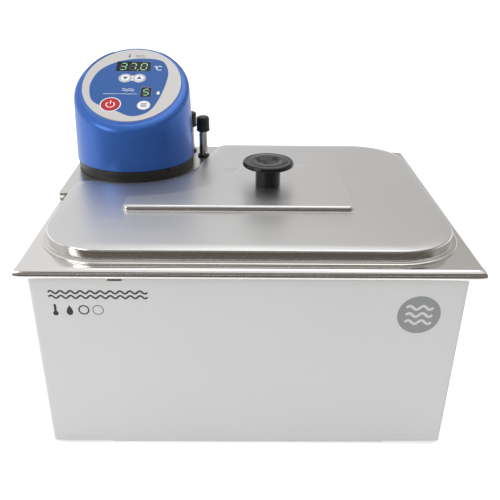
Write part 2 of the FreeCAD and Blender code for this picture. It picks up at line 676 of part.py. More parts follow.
def head_housing():
    outer = housing_cone(0).cut(above_panel(0))
    brim = [edge for edge in outer.Edges if edge.BoundBox.ZMin > HOUSING_Z + EXTRA and
            edge.BoundBox.XLength > HOUSING_RADIUS]
    outer = outer.makeFillet(HOUSING_EDGE, brim)
    cavity = housing_cone(HOUSING_WALL).cut(above_panel(LEDGE_UNDER))
    recess = on_panel(oval(PANEL_HALF_U + SEAT_GAP, PANEL_HALF_V + SEAT_GAP, PANEL_BACK, EXTRA))
    window = on_panel(oval(PANEL_HALF_U - LEDGE_WIDTH, PANEL_HALF_V - LEDGE_WIDTH,
                           LEDGE_UNDER - EXTRA, EXTRA))
    spigot_outer = BASE_RADIUS - BASE_WALL - SEAT_GAP
    spigot_inner = spigot_outer - SPIGOT_WALL
    spigot = ring(HEAD_X, HEAD_Y, BASE_FLOOR_TOP + SEAT_GAP, HOUSING_Z + SPIGOT_LEDGE,
                  spigot_outer, spigot_inner)
    ledge = ring(HEAD_X, HEAD_Y, HOUSING_Z, HOUSING_Z + SPIGOT_LEDGE,
                 HOUSING_RADIUS - HOUSING_WALL + SEAT_GAP, spigot_inner)
    shell = outer.cut([cavity, recess, window]).fuse([spigot, ledge])
    return shell.cut(side_screw_cutters() + [inlet_block(RUN_GAP, HOUSING_RADIUS)])


# ---- panel, keys and boards ----------------------------------------------------------------------
def keypad_panel():
    sheet = oval(PANEL_HALF_U, PANEL_HALF_V, PANEL_BACK, PANEL_PROUD)
    for u, v, radius in KEYS.values():
        sheet = sheet.cut(rod(u, v, PANEL_BACK - EXTRA, EXTRA, radius + MOVE_GAP))
    for u, v, half_u, half_v in DISPLAYS.values():
        sheet = sheet.cut(block(u - half_u - SEAT_GAP, u + half_u + SEAT_GAP, v - half_v - SEAT_GAP,
                                v + half_v + SEAT_GAP, PANEL_BACK - EXTRA, EXTRA))
    return on_panel(sheet)


def key(name):
    """One push key: cap, retaining collar behind the panel, and plunger."""
    u, v, radius = KEYS[name]
    top = PANEL_PROUD + KEY_PROUD
    cap = rod(u, v, KEY_COLLAR_TOP - KEY_COLLAR, top, radius)
    cap = cap.makeFillet(KEY_PROUD, edges_at(cap, top))
    collar = rod(u, v, KEY_COLLAR_TOP - KEY_COLLAR, KEY_COLLAR_TOP, radius + KEY_COLLAR_REACH)
    plunger = rod(u, v, KEY_END, KEY_COLLAR_TOP - KEY_COLLAR, KEY_PLUNGER)
    return on_panel(cap.fuse([collar, plunger]))


def display(name):
    u, v, half_u, half_v = DISPLAYS[name]
    return on_panel(block(u - half_u, u + half_u, v - half_v, v + half_v, BOARD_TOP, 0))


def control_board():
    return on_panel(rounded_block(BOARD_HALF_U, BOARD_HALF_V, BOARD_CORNER,
                                  BOARD_TOP - BOARD_THICK, BOARD_TOP))


def board_standoffs():
    half_u = BOARD_HALF_U - STANDOFF_INSET_U
    half_v = BOARD_HALF_V - STANDOFF_INSET_V
    return [on_panel(rod(side * half_u, end * half_v, BOARD_TOP, LEDGE_UNDER, STANDOFF_RADIUS))
            for side in (-1, 1) for end in (-1, 1)]


def key_switches():
    top = KEY_END - KEY_SWITCH_ROOM
    return [on_panel(block(u - SWITCH_HALF, u + SWITCH_HALF, v - SWITCH_HALF, v + SWITCH_HALF,
                           BOARD_TOP, top))
            for u, v, _ in KEYS.values()]


def power_board():
    x = HEAD_X + HOUSING_RADIUS - POWER_BOARD_INSET
    return block(x, x + BOARD_THICK, HEAD_Y - POWER_BOARD_HALF_Y, HEAD_Y + POWER_BOARD_HALF_Y,
                 BASE_FLOOR_TOP, BASE_FLOOR_TOP + POWER_BOARD_HEIGHT)


def power_transformer():
    x = HEAD_X + HOUSING_RADIUS - POWER_BOARD_INSET + BOARD_THICK
    z = BASE_FLOOR_TOP + EXTRA
    return block(x, x + TRANSFORMER_THICK, HEAD_Y - TRANSFORMER_WIDE / 2, HEAD_Y + TRANSFORMER_WIDE / 2,
                 z, z + TRANSFORMER_TALL)


# ---- mains inlet -----------------------------------------------------------------------------------
def mains_inlet():
    socket = block(HEAD_X - SOCKET_HALF_X, HEAD_X + SOCKET_HALF_X, INLET_FACE - SOCKET_DEPTH,
                   INLET_FACE + EXTRA, INLET_Z - SOCKET_HALF_Z, INLET_Z + SOCKET_HALF_Z)
    return inlet_block(0, 0).cut(socket)


def inlet_pins():
    back = INLET_FACE - SOCKET_DEPTH
    pins = []
    for dx, dz in ((-PIN_SPACING, -PIN_OFFSET_Z), (0, PIN_OFFSET_Z), (PIN_SPACING, -PIN_OFFSET_Z)):
        x = HEAD_X + dx
        z = INLET_Z + dz
        pins.append(block(x - PIN_HALF_X, x + PIN_HALF_X, back, back + PIN_LENGTH,
                          z - PIN_HALF_Z, z + PIN_HALF_Z))
    return pins


# ---- pump ------------------------------------------------------------------------------------------
def pump_motor():
    z = BASE_FLOOR_TOP
    can = rod(HEAD_X, HEAD_Y, z, z + MOTOR_HEIGHT, MOTOR_RADIUS)
    flange = rod(HEAD_X, HEAD_Y, z, z + MOTOR_FLANGE, MOTOR_FLANGE_RADIUS)
    bore = rod(HEAD_X, HEAD_Y, z - EXTRA, z + SHAFT_INTO_MOTOR + EXTRA, SHAFT_RADIUS + RUN_GAP)
    return can.fuse(flange).cut(bore)


def pump_shaft():
    return rod(HEAD_X, HEAD_Y, IMPELLER_Z, BASE_FLOOR_TOP + SHAFT_INTO_MOTOR, SHAFT_RADIUS)


def pump_stem():
    tube = ring(HEAD_X, HEAD_Y, PUMP_TOP, PLATE_UNDER, STEM_RADIUS, STEM_RADIUS - STEM_WALL)
    flange = ring(HEAD_X, HEAD_Y, PLATE_UNDER - STEM_FLANGE, PLATE_UNDER, STEM_FLANGE_RADIUS,
                  STEM_RADIUS - STEM_WALL)
    return tube.fuse(flange)


def shaft_bush():
    return ring(HEAD_X, HEAD_Y, PUMP_TOP, PUMP_TOP + BUSH_HEIGHT, STEM_RADIUS - STEM_WALL,
                SHAFT_RADIUS + RUN_GAP)


def to_outlet():
    """Level direction from the head's axis to the outlet tube."""
    bearing = math.radians(OUTLET_BEARING)
    return V(math.cos(bearing), math.sin(bearing), 0)


def outward_rod(start, end, z, radius):
    """Level rod towards the outlet tube, between two distances from the head's axis."""
    return Part.makeCylinder(radius, end - start, V(HEAD_X, HEAD_Y, z) + to_outlet() * start, to_outlet())


def pump_housing():
    body = rod(HEAD_X, HEAD_Y, PUMP_BOTTOM + PUMP_COVER, PUMP_TOP, PUMP_RADIUS)
    nozzle_end = PUMP_RADIUS + NOZZLE_REACH
    chamber_radius = IMPELLER_RADIUS + CHAMBER_GAP
    body = body.fuse(outward_rod(chamber_radius, nozzle_end, NOZZLE_Z, NOZZLE_RADIUS))
    chamber = rod(HEAD_X, HEAD_Y, PUMP_BOTTOM, IMPELLER_TOP + CHAMBER_GAP, chamber_radius)
    shaft_hole = rod(HEAD_X, HEAD_Y, PUMP_BOTTOM, PUMP_TOP + EXTRA, SHAFT_RADIUS + MOVE_GAP)
    duct = outward_rod(IMPELLER_RADIUS, nozzle_end + EXTRA, NOZZLE_Z, TUBE_RADIUS - TUBE_WALL)
    socket = outward_rod(nozzle_end - NOZZLE_SOCKET, nozzle_end + EXTRA, NOZZLE_Z, TUBE_RADIUS + RUN_GAP)
    return body.cut([chamber, shaft_hole, duct, socket] + cover_screw_holes())


def cover_screw_places():
    return [around_head(PUMP_RADIUS - COVER_SCREW_INSET, bearing) for bearing in COVER_SCREW_BEARINGS]


def cover_screw_holes():
    top = PUMP_BOTTOM + PUMP_COVER + COVER_SCREW_GRIP + EXTRA
    return [rod(x, y, PUMP_BOTTOM - EXTRA, top, COVER_SCREW_RADIUS + RUN_GAP)
            for x, y in cover_screw_places()]


def pump_cover():
    disc = ring(HEAD_X, HEAD_Y, PUMP_BOTTOM, PUMP_BOTTOM + PUMP_COVER, PUMP_RADIUS, INTAKE_RADIUS)
    return disc.cut(cover_screw_holes())


def pump_cover_screws():
    screws = []
    for x, y in cover_screw_places():
        shank = rod(x, y, PUMP_BOTTOM, PUMP_BOTTOM + PUMP_COVER + COVER_SCREW_GRIP, COVER_SCREW_RADIUS)
        head = rod(x, y, PUMP_BOTTOM - COVER_SCREW_HEAD_HEIGHT, PUMP_BOTTOM, COVER_SCREW_HEAD)
        screws.append(shank.fuse(head))
    return screws


def impeller():
    """Open impeller: disc on top, straight radial vanes below, hub pressed on the shaft."""
    vane_top = IMPELLER_Z + IMPELLER_VANE_HEIGHT
    wheel = rod(HEAD_X, HEAD_Y, vane_top, vane_top + IMPELLER_DISC, IMPELLER_RADIUS)
    hub = rod(HEAD_X, HEAD_Y, IMPELLER_Z, vane_top, IMPELLER_HUB)
    vanes = []
    for index in range(IMPELLER_VANES):
        vane = block(IMPELLER_HUB - EXTRA, IMPELLER_RADIUS, -IMPELLER_VANE / 2, IMPELLER_VANE / 2,
                     IMPELLER_Z, vane_top)
        vane.rotate(V(0, 0, 0), UP, index * 360.0 / IMPELLER_VANES)
        vane.translate(V(HEAD_X, HEAD_Y, 0))
        vanes.append(vane)
    bore = rod(HEAD_X, HEAD_Y, IMPELLER_Z - EXTRA, IMPELLER_TOP + EXTRA, SHAFT_RADIUS)
    return wheel.fuse([hub] + vanes).cut(bore)


# ---- heater, probe and float -------------------------------------------------------------------------
def heater_legs():
    """Plan points of the heater's two upright legs."""
    return [leg_place(HEATER_START, -1), leg_place(HEATER_START + HEATER_SWEEP, 1)]


def leg_place(angle, sense):
    """Plan point of a leg: past the ring's end, along the ring's tangent there."""
    x, y = around_head(HEATER_RING, angle)
    bearing = math.radians(angle + 90)
    return x + sense * HEATER_BEND * math.cos(bearing), y + sense * HEATER_BEND * math.sin(bearing)


def heater_coil():
    top = TERMINAL_TOP
    bend_z = HEATER_Z + HEATER_BEND
    (x0, y0), (x1, y1) = heater_legs()
    middle = HEATER_START + HEATER_SWEEP / 2
    end = HEATER_START + HEATER_SWEEP
    a = V(*around_head(HEATER_RING, HEATER_START), HEATER_Z)
    b = V(*around_head(HEATER_RING, middle), HEATER_Z)
    c = V(*around_head(HEATER_RING, end), HEATER_Z)

    def bend_middle(leg, ring_point):
        across = (ring_point - leg) * (1 - DIAGONAL)
        return V(leg.x + across.x, leg.y + across.y, bend_z - HEATER_BEND * DIAGONAL)

    leg0 = V(x0, y0, bend_z)
    leg1 = V(x1, y1, bend_z)
    path = [Part.makeLine(V(x0, y0, top), leg0),
            Part.Arc(leg0, bend_middle(leg0, a), a).toShape(),
            Part.Arc(a, b, c).toShape(),
            Part.Arc(c, bend_middle(leg1, c), leg1).toShape(),
            Part.makeLine(leg1, V(x1, y1, top))]
    return swept_rod(path, V(x0, y0, top), UP, HEATER_RADIUS)


def temperature_probe():
    x, y = probe_place()
    return rod(x, y, PUMP_BOTTOM + PROBE_OVER_PUMP_BASE, TERMINAL_TOP, PROBE_RADIUS)


def level_stem():
    """Stem with a fixed collar below and above the float."""
    x, y = level_place()
    upper = FLOAT_Z + FLOAT_HEIGHT + FLOAT_TRAVEL + MOVE_GAP
    stem = rod(x, y, LEVEL_END, TERMINAL_TOP, LEVEL_STEM_RADIUS)
    lower_stop = rod(x, y, LEVEL_END, LEVEL_END + LEVEL_STOP, LEVEL_STOP_RADIUS)
    upper_stop = rod(x, y, upper, upper + LEVEL_STOP, LEVEL_STOP_RADIUS)
    return stem.fuse([lower_stop, upper_stop])


def level_float():
    x, y = level_place()
    body = ring(x, y, FLOAT_Z, FLOAT_Z + FLOAT_HEIGHT, FLOAT_RADIUS, LEVEL_STEM_RADIUS + FLOAT_BORE_GAP)
    rims = [edge for edge in edges_at(body, FLOAT_Z) + edges_at(body, FLOAT_Z + FLOAT_HEIGHT)
            if edge.BoundBox.XLength > FLOAT_RADIUS]
    return body.makeFillet(FLOAT_EDGE, rims)


def plate_nut(place, radius):
    """Nut under the bridge plate, round a rod of a given radius."""
    x, y = place
    return hexagon(x, y, PLATE_UNDER - NUT_HEIGHT, PLATE_UNDER, 2 * (radius + NUT_WALL), radius + RUN_GAP)


def gland_nuts():
    nuts = [plate_nut(place, HEATER_RADIUS) for place in heater_legs()]
    return nuts + [plate_nut(probe_place(), PROBE_RADIUS), plate_nut(level_place(), LEVEL_STEM_RADIUS)]


# ---- hose tubes ------------------------------------------------------------------------------------
def outlet_tube():
    """From the pump's nozzle out, round one bend and up through the plate."""
    reach = HOUSING_RADIUS + OUTLET_GAP
    inner_end = PUMP_RADIUS + NOZZLE_REACH - NOZZLE_SOCKET + RUN_GAP
    direction = to_outlet()

    def at(distance, z):
        return V(HEAD_X, HEAD_Y, z) + direction * distance

    start = at(inner_end, NOZZLE_Z)
    before = at(reach - TUBE_BEND, NOZZLE_Z)
    middle = at(reach - TUBE_BEND * (1 - DIAGONAL), NOZZLE_Z + TUBE_BEND * (1 - DIAGONAL))
    after = at(reach, NOZZLE_Z + TUBE_BEND)
    path = [Part.makeLine(start, before),
            Part.Arc(before, middle, after).toShape(),
            Part.makeLine(after, at(reach, TUBE_TOP))]
    outer = swept_rod(path, start, direction, TUBE_RADIUS)
    inner = swept_rod(path, start, direction, TUBE_RADIUS - TUBE_WALL)
    return outer.cut(inner)


def return_tube():
    x, y = return_place()
    return ring(x, y, PUMP_TOP + RETURN_OVER_PUMP, TUBE_TOP, TUBE_RADIUS, TUBE_RADIUS - TUBE_WALL)


def tube_grommets():
    return [ring(x, y, PLATE_TOP, PLATE_TOP + GROMMET_HEIGHT, TUBE_RADIUS + GROMMET_WALL,
                 TUBE_RADIUS + RUN_GAP)
            for x, y in (outlet_place(), return_place())]


def tube_nuts():
    return [plate_nut(place, TUBE_RADIUS) for place in (outlet_place(), return_place())]


def tube_cap(place):
    """Soft push-on cap whose roof rests on the tube's end."""
    x, y = place
    bottom = TUBE_TOP + CAP_ROOF - CAP_HEIGHT
    body = rod(x, y, bottom, TUBE_TOP + CAP_ROOF, CAP_RADIUS)
    body = body.makeFillet(CAP_EDGE, edges_at(body, TUBE_TOP + CAP_ROOF))
    return body.cut(rod(x, y, bottom - EXTRA, TUBE_TOP, TUBE_RADIUS + RUN_GAP))


# ---- lid ---------------------------------------------------------------------------------------------
def flared_side_x(y, shrink):
    """X of the cutout's straight side: from the arc's end, just past the outlet tube's cap."""
    end_x, end_y = around_head(CUTOUT_RADIUS - shrink, CUTOUT_END)
    tube_x, tube_y = outlet_place()
    pass_x = tube_x + CAP_RADIUS + CAP_PASSING_GAP - shrink
    return end_x + (y - end_y) * (pass_x - end_x) / (tube_y - end_y)


def cutout(shrink, z0, z1):
    """Room for the head at the lid's back left corner, drawn smaller by shrink."""
    radius = CUTOUT_RADIUS - shrink
    arc_start = V(HEAD_X, HEAD_Y - radius, z0)
    arc_middle = V(*around_head(radius, (CUTOUT_END - 90) / 2), z0)
    arc_end = V(*around_head(radius, CUTOUT_END), z0)
    back = V(flared_side_x(RIM_WIDTH, shrink), RIM_WIDTH, z0)
    far_left = V(-RIM_LENGTH, RIM_WIDTH, z0)
    near_left = V(-RIM_LENGTH, HEAD_Y - radius, z0)
    wire = Part.Wire([Part.Arc(arc_start, arc_middle, arc_end).toShape(),
                      Part.makeLine(arc_end, back),
                      Part.makeLine(back, far_left),
                      Part.makeLine(far_left, near_left),
                      Part.makeLine(near_left, arc_start)])
    return prism(wire, z1 - z0)


def lid_prism(grow, z0, z1):
    """The lid's plan outline, grown outward, between two heights."""
    half_x = LID_LENGTH / 2 + grow
    half_y = LID_WIDTH / 2 + grow
    slab = rounded_block(half_x, half_y, LID_CORNER + grow, z0, z1)
    slab = slab.cut(cutout(grow, z0 - EXTRA, z1 + EXTRA))
    side_corner = upright_edges_near(slab, [(-half_x, HEAD_Y - CUTOUT_RADIUS + grow)])
    slab = slab.makeFillet(CUTOUT_CORNER + grow, side_corner)
    back_corner = upright_edges_near(slab, [(flared_side_x(half_y, grow), half_y)])
    return slab.makeFillet(CUTOUT_BACK_CORNER + grow, back_corner)


def plateau_prism(inset, z0, z1):
    """Raised middle of the lid, hollowed towards the head by an arc about its axis."""
    left = PLATEAU_LEFT + inset
    right = PLATEAU_RIGHT - inset
    front = PLATEAU_FRONT + inset
    back = PLATEAU_BACK - inset
    slab = block(left, right, front, back, z0, z1)
    radius = PLATEAU_ARC + inset
    slab = slab.cut(rod(HEAD_X, HEAD_Y, z0 - EXTRA, z1 + EXTRA, radius))
    return slab.makeFillet(PLATEAU_CORNER - inset, upright_edges_near(slab, [(KNOB_X, KNOB_Y)], RIM_LENGTH))


def lid_shell():
    outer = lid_prism(0, RIM_TOP, LID_TOP)
    outer = outer.makeFillet(LID_TOP_EDGE, edges_at(outer, LID_TOP))
    foot = lid_prism(LID_FOOT, RIM_TOP, RIM_TOP + LID_FOOT_THICK)
    inner = lid_prism(-LID_SHEET, RIM_TOP - EXTRA, LID_TOP - LID_SHEET)
    raised = plateau_prism(0, LID_TOP - PLATEAU_SINK, PLATEAU_TOP)
    raised = raised.makeFillet(LID_TOP_EDGE, edges_at(raised, PLATEAU_TOP))
    hollow = plateau_prism(LID_SHEET, LID_TOP - LID_SHEET - EXTRA, PLATEAU_TOP - LID_SHEET)
    room = block(-RIM_LENGTH, PLATE_RIGHT + MOVE_GAP, PLATE_FRONT - MOVE_GAP, RIM_WIDTH,
                 RIM_TOP - EXTRA, PLATE_TOP + MOVE_GAP)
    screw_hole = rod(KNOB_X, KNOB_Y, RIM_TOP, PLATEAU_TOP + EXTRA, KNOB_SCREW_RADIUS + RUN_GAP)
    return outer.fuse([foot, raised]).cut([inner, hollow, room, screw_hole])


def lid_knob():
    """Mushroom knob, turned about its upright axis."""
    top = KNOB_HEIGHT
    under = top - KNOB_CAP_EDGE
    rim = KNOB_CAP_RADIUS
    dish = KNOB_DISH_RADIUS
    dish_floor = top - KNOB_DISH_DEPTH
    stem = KNOB_STEM_RADIUS
    outline = [(0, 0), (stem, 0), (stem, under - KNOB_FLARE), (stem + KNOB_FLARE, under),
               (rim - KNOB_ROUNDING, under), (rim, under + KNOB_ROUNDING), (rim, top - KNOB_ROUNDING),
               (rim - KNOB_CROWN, top), (dish, top), (dish - KNOB_DISH_SLOPE, dish_floor),
               (KNOB_DIMPLE_RADIUS, dish_floor), (0, dish_floor - KNOB_DIMPLE_DEPTH), (0, 0)]
    points = [V(KNOB_X + radius, KNOB_Y, PLATEAU_TOP + z) for radius, z in outline]
    face = Part.Face(Part.makePolygon(points))
    body = face.revolve(V(KNOB_X, KNOB_Y, 0), UP, 360)
    return body.cut(rod(KNOB_X, KNOB_Y, PLATEAU_TOP - EXTRA, PLATEAU_TOP + KNOB_SCREW_INSERT,
                        KNOB_SCREW_RADIUS + RUN_GAP))


def knob_washer():
    under = PLATEAU_TOP - LID_SHEET
    return ring(KNOB_X, KNOB_Y, under - WASHER_HEIGHT, under, WASHER_RADIUS, KNOB_SCREW_RADIUS + RUN_GAP)


def knob_screw():
    seat = PLATEAU_TOP - LID_SHEET - WASHER_HEIGHT
    shank = rod(KNOB_X, KNOB_Y, seat, PLATEAU_TOP + KNOB_SCREW_INSERT - RUN_GAP, KNOB_SCREW_RADIUS)
    return shank.fuse(rod(KNOB_X, KNOB_Y, seat - KNOB_SCREW_HEAD_HEIGHT, seat, KNOB_SCREW_HEAD))


# ---- all nodes -----------------------------------------------------------------------------------------
def main():
    os.makedirs("parts", exist_ok=True)
    single = [bath_pan, casing, base_plate, insulation_base, insulation_wrap, bridge_plate, head_gasket,
              head_base, head_housing, keypad_panel, control_board, power_board, power_transformer,
              mains_inlet, pump_motor, pump_shaft, pump_stem, shaft_bush, pump_housing, pump_cover,
              impeller, heater_coil, temperature_probe, level_stem, level_float, outlet_tube,
              return_tube, lid_shell, lid_knob, knob_washer, knob_screw]
    groups = [casing_screws, feet, base_screws, side_screws, board_standoffs, key_switches, inlet_pins,
              pump_cover_screws, gland_nuts, tube_grommets, tube_nuts]
    for build in single:
        save(build.__name__, build())
    for build in groups:
        save(build.__name__, *build())
    for name in KEYS:
        save(name, key(name))
    for name in DISPLAYS:
        save(name, display(name))
    save("outlet_cap", tube_cap(outlet_place()))
    save("return_cap", tube_cap(return_place()))


main()
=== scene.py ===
# %% [markdown]
# # A circulating water bath
# A laboratory water bath is a steel tank in a boxed casing. A circulator head stands on a bridge
# plate over one corner, and a loose lid covers the rest. This lesson dresses the measured model of
# the bath: the frame below brings in every part at its true size, and each step adds a surface or a
# finish to it. Surfaces are worked out with numpy in millimetres and become metres at the end.

# %% Load the frame
import json
import math

import bpy
import numpy as np
from mathutils import Matrix, Vector
from mathutils.geometry import tessellate_polygon


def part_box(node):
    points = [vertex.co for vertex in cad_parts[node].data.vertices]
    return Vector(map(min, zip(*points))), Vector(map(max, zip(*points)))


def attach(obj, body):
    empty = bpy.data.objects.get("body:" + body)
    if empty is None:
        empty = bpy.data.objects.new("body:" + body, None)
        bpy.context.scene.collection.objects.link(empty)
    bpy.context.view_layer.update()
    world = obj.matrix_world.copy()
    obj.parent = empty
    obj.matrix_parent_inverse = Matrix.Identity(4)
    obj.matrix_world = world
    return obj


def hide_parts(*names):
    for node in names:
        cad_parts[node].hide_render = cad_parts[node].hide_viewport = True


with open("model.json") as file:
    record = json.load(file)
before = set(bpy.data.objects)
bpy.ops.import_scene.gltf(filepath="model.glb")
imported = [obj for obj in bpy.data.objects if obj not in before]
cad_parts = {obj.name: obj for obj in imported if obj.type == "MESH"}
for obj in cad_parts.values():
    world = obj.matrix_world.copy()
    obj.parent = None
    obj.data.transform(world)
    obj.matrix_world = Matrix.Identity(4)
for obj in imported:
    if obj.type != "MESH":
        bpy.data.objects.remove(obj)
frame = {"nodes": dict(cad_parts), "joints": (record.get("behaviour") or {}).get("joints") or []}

MM = 0.001
scene = bpy.context.scene
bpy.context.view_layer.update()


def span(node):
    """Lowest and highest corners of a part of the frame, in millimetres."""
    low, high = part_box(node)
    return np.array(low) / MM, np.array(high) / MM


# %% [markdown]
# ## Where things are
# Every place comes from the frame: the rim from the tank's box, the head's axis from its base, and
# the slant of the keypad from the direction in which its keys are pressed.

# %% Places taken from the frame
rim_low, rim_high = span("bath_pan")
RIM_TOP = rim_high[2]
RIM_HALF_X, RIM_HALF_Y = rim_high[:2]
base_low, base_high = span("head_base")
HEAD_X, HEAD_Y = ((base_low + base_high) / 2)[:2]
HOUSING_Z = base_high[2]
housing_low, housing_high = span("head_housing")
HOUSING_RADIUS = (housing_high[0] - housing_low[0]) / 2
press = next(joint["axis"] for joint in frame["joints"] if joint["name"] == "power_key_press")
SLANT = math.atan2(press[1], -press[2])
panel_low, panel_high = span("keypad_panel")
FILM_TOP = 0.2
FILM_THICK = 1.2
PANEL_HALF_U = (panel_high[0] - panel_low[0]) / 2
PANEL_Z = (panel_low[2] + panel_high[2]) / 2 + (FILM_THICK / 2 - FILM_TOP) * math.cos(SLANT)
print("the head stands at", round(HEAD_X, 1), round(HEAD_Y, 1), "slant", round(math.degrees(SLANT), 1))

# %% [markdown]
# ## From points to a piece
# A surface is a grid of points: rows run along a profile and columns run round the piece. Each quad
# joins two neighbours of one row to the same two of the next, so a grid needs no loop over points.

# %% Grid and mesh helpers
SHARP = math.radians(42)


def grid_faces(rows, columns, closed=True):
    """Quads between neighbouring rows: (i, j), (i, j + 1), (i + 1, j + 1), (i + 1, j).

    With columns counted anticlockwise and rows upward, they face outward.
    """
    index = np.arange(rows * columns).reshape(rows, columns)
    here = index if closed else index[:, :-1]
    there = np.roll(index, -1, axis=1) if closed else index[:, 1:]
    return np.stack([here[:-1], there[:-1], there[1:], here[1:]], axis=-1).reshape(-1, 4).tolist()


def make_piece(name, points, faces, materials, body, face_materials=None):
    """A mesh object at the origin, smooth but for its sharp edges, that rides on a body of the frame."""
    mesh = bpy.data.meshes.new(name)
    mesh.from_pydata((np.asarray(points).reshape(-1, 3) * MM).tolist(), [], faces)
    for material in materials:
        mesh.materials.append(material)
    if face_materials is not None:
        mesh.polygons.foreach_set("material_index", face_materials)
    mesh.shade_smooth()
    mesh.set_sharp_from_angle(angle=SHARP)
    thing = bpy.data.objects.new(name, mesh)
    scene.collection.objects.link(thing)
    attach(thing, body)
    return thing


def add_thickness(thing, thick, even=True):
    """Sheet metal or plastic: a wall added behind the modelled side. Even keeps it square at folds."""
    wall = thing.modifiers.new("thickness", "SOLIDIFY")
    wall.thickness = thick * MM
    wall.offset = -1
    wall.use_even_offset = even


print("edges sharper than", round(math.degrees(SHARP)), "degrees stay sharp")

# %% [markdown]
# ## Outlines and profiles
# Most parts here are one outline, seen from above, carried up a profile. The outline is a list of
# arcs with straight lines between them. The profile says how far in from the outline each row lies
# and how high it is, so a rounded edge is an arc in the profile.

# %% Outlines, profiles and sweeps
ARC_STEPS = 13
LINE_STEP = 8.0


def outline(arcs):
    """Closed line through arcs of (x, y, radius, start, end), in degrees.

    A point is the centre plus the radius times (cos, sin). Its outward normal is (cos, sin), or the
    opposite on an arc that runs clockwise, which is a hollow. Lines join each arc to the next.
    """
    runs = []
    for x, y, radius, start, end in arcs:
        turn = np.radians(np.linspace(start, end, max(ARC_STEPS, int(abs(end - start) / 7))))
        ray = np.stack([np.cos(turn), np.sin(turn)], axis=1)
        runs.append(([x, y] + radius * ray, ray * np.sign(end - start)))
    places, normals = [], []
    for (here, outward), (there, _) in zip(runs, runs[1:] + runs[:1]):
        gap = np.linalg.norm(there[0] - here[-1])
        share = np.linspace(0, 1, int(gap / LINE_STEP) + 2)[1:-1, None]
        places += [here, here[-1] * (1 - share) + there[0] * share]
        normals += [outward, np.repeat(outward[-1:], len(share), axis=0)]
    return np.concatenate(places), np.concatenate(normals)


def rounded_rectangle(half_x, half_y, corner, x=0.0, y=0.0):
    """Outline of a rectangle with round corners, their centres a corner radius in from both sides."""
    ends = ((1, -1, -90), (1, 1, 0), (-1, 1, 90), (-1, -1, 180))
    return outline([(x + side * (half_x - corner), y + end * (half_y - corner), corner,
                     start, start + 90) for side, end, start in ends])


def circle(x, y, steps=96):
    """A turning axis as an outline of radius nought: a profile's inset is then minus the radius."""
    turn = np.linspace(0, 2 * np.pi, steps, endpoint=False)
    ray = np.stack([np.cos(turn), np.sin(turn)], axis=1)
    return np.repeat([[x, y]], steps, axis=0), ray


def bend(inset, height, radius, start, end, steps=7):
    """Arc of a profile: inset = centre - radius * cos, height = centre + radius * sin, in degrees."""
    turn = np.radians(np.linspace(start, end, steps))
    return np.stack([inset - radius * np.cos(turn), height + radius * np.sin(turn)], axis=1)


def sweep(line, profile):
    """P(s, t) = outline(t) - inset(s) * normal(t), at height(s): rows by s, columns by t."""
    places, normals = line
    inset, height = np.asarray(profile, float).T
    flat = places[None] - inset[:, None, None] * normals[None]
    tall = np.broadcast_to(height[:, None, None], flat.shape[:2] + (1,))
    return np.concatenate([flat, tall], axis=2)


def last_row(rows):
    """Numbers of the points in the last row, for one face that closes it."""
    count, around = rows.shape[:2]
    return list(range((count - 1) * around, count * around))


def turned(name, x, y, profile, material, body):
    """Lathe work: a profile of (radius, height) turned about an upright axis, closed at both ends."""
    rows = sweep(circle(x, y), [(-radius, height) for radius, height in profile])
    count, around = rows.shape[:2]
    ends = [list(range(around))[::-1], last_row(rows)]
    return make_piece(name, rows, grid_faces(count, around) + ends, [material], body)


print("a round corner has at least", ARC_STEPS, "points")

# %% [markdown]
# ## Flat printed shapes
# Marks on the keypad and on the casing are thin plates of ink: a loop, less the holes in it, filled
# with triangles, with a wall round every edge. They stand a few hundredths of a millimetre proud.

# %% Plates and their outlines
def signed_area(loop):
    """Half the sum of x[i] y[i + 1] - y[i] x[i + 1]: above nought for an anticlockwise loop."""
    x, y = np.asarray(loop).T
    return 0.5 * np.sum(x * np.roll(y, -1) - y * np.roll(x, -1))


def triangles(loops):
    """Triangles that fill the first loop less the others, counted through all the loops, facing up."""
    flat = np.concatenate(loops)
    found = tessellate_polygon([[Vector((*point, 0)) for point in loop] for loop in loops])
    return [list(t) if signed_area(flat[list(t)]) > 0 else list(t)[::-1] for t in found]


def plate(loops, low, high):
    """Closed plate between two levels, and its faces. The first loop is its edge, the others its holes."""
    wound = [np.asarray(loop, float)[::1 if (signed_area(loop) > 0) == (i == 0) else -1]
             for i, loop in enumerate(loops)]
    flat = np.concatenate(wound)
    total = len(flat)
    faces = []
    for up in triangles(wound):
        faces += [up, [i + total for i in up[::-1]]]
    start = 0
    for loop in wound:
        here = np.arange(start, start + len(loop))
        there = np.roll(here, -1)
        faces += np.stack([here + total, there + total, there, here], axis=1).tolist()
        start += len(loop)
    levels = np.repeat([high, low], total)[:, None]
    return np.concatenate([np.concatenate([flat, flat]), levels], axis=1), faces


def join(plates):
    """Several plates as one set of points and faces."""
    points, faces, start = [], [], 0
    for more_points, more_faces in plates:
        points.append(more_points)
        faces += [[i + start for i in face] for face in more_faces]
        start += len(more_points)
    return np.concatenate(points), faces


def ring_loop(u, v, radius, steps=48):
    """Closed circle: (u, v) + radius * (cos t, sin t)."""
    turn = np.linspace(0, 2 * np.pi, steps, endpoint=False)
    return np.stack([u + radius * np.cos(turn), v + radius * np.sin(turn)], axis=1)


def ribbon(line, width):
    """Edge of a band of even width along an open line: the line moved half the width each way."""
    line = np.asarray(line, float)
    along = np.gradient(line, axis=0)
    side = np.stack([-along[:, 1], along[:, 0]], axis=1) / np.linalg.norm(along, axis=1)[:, None]
    return np.concatenate([line - side * width / 2, (line + side * width / 2)[::-1]])


def arc_line(u, v, radius, start, end, steps=24):
    """Open arc: (u, v) + radius * (cos t, sin t), with t from start to end in degrees."""
    turn = np.radians(np.linspace(start, end, steps))
    return np.stack([u + radius * np.cos(turn), v + radius * np.sin(turn)], axis=1)


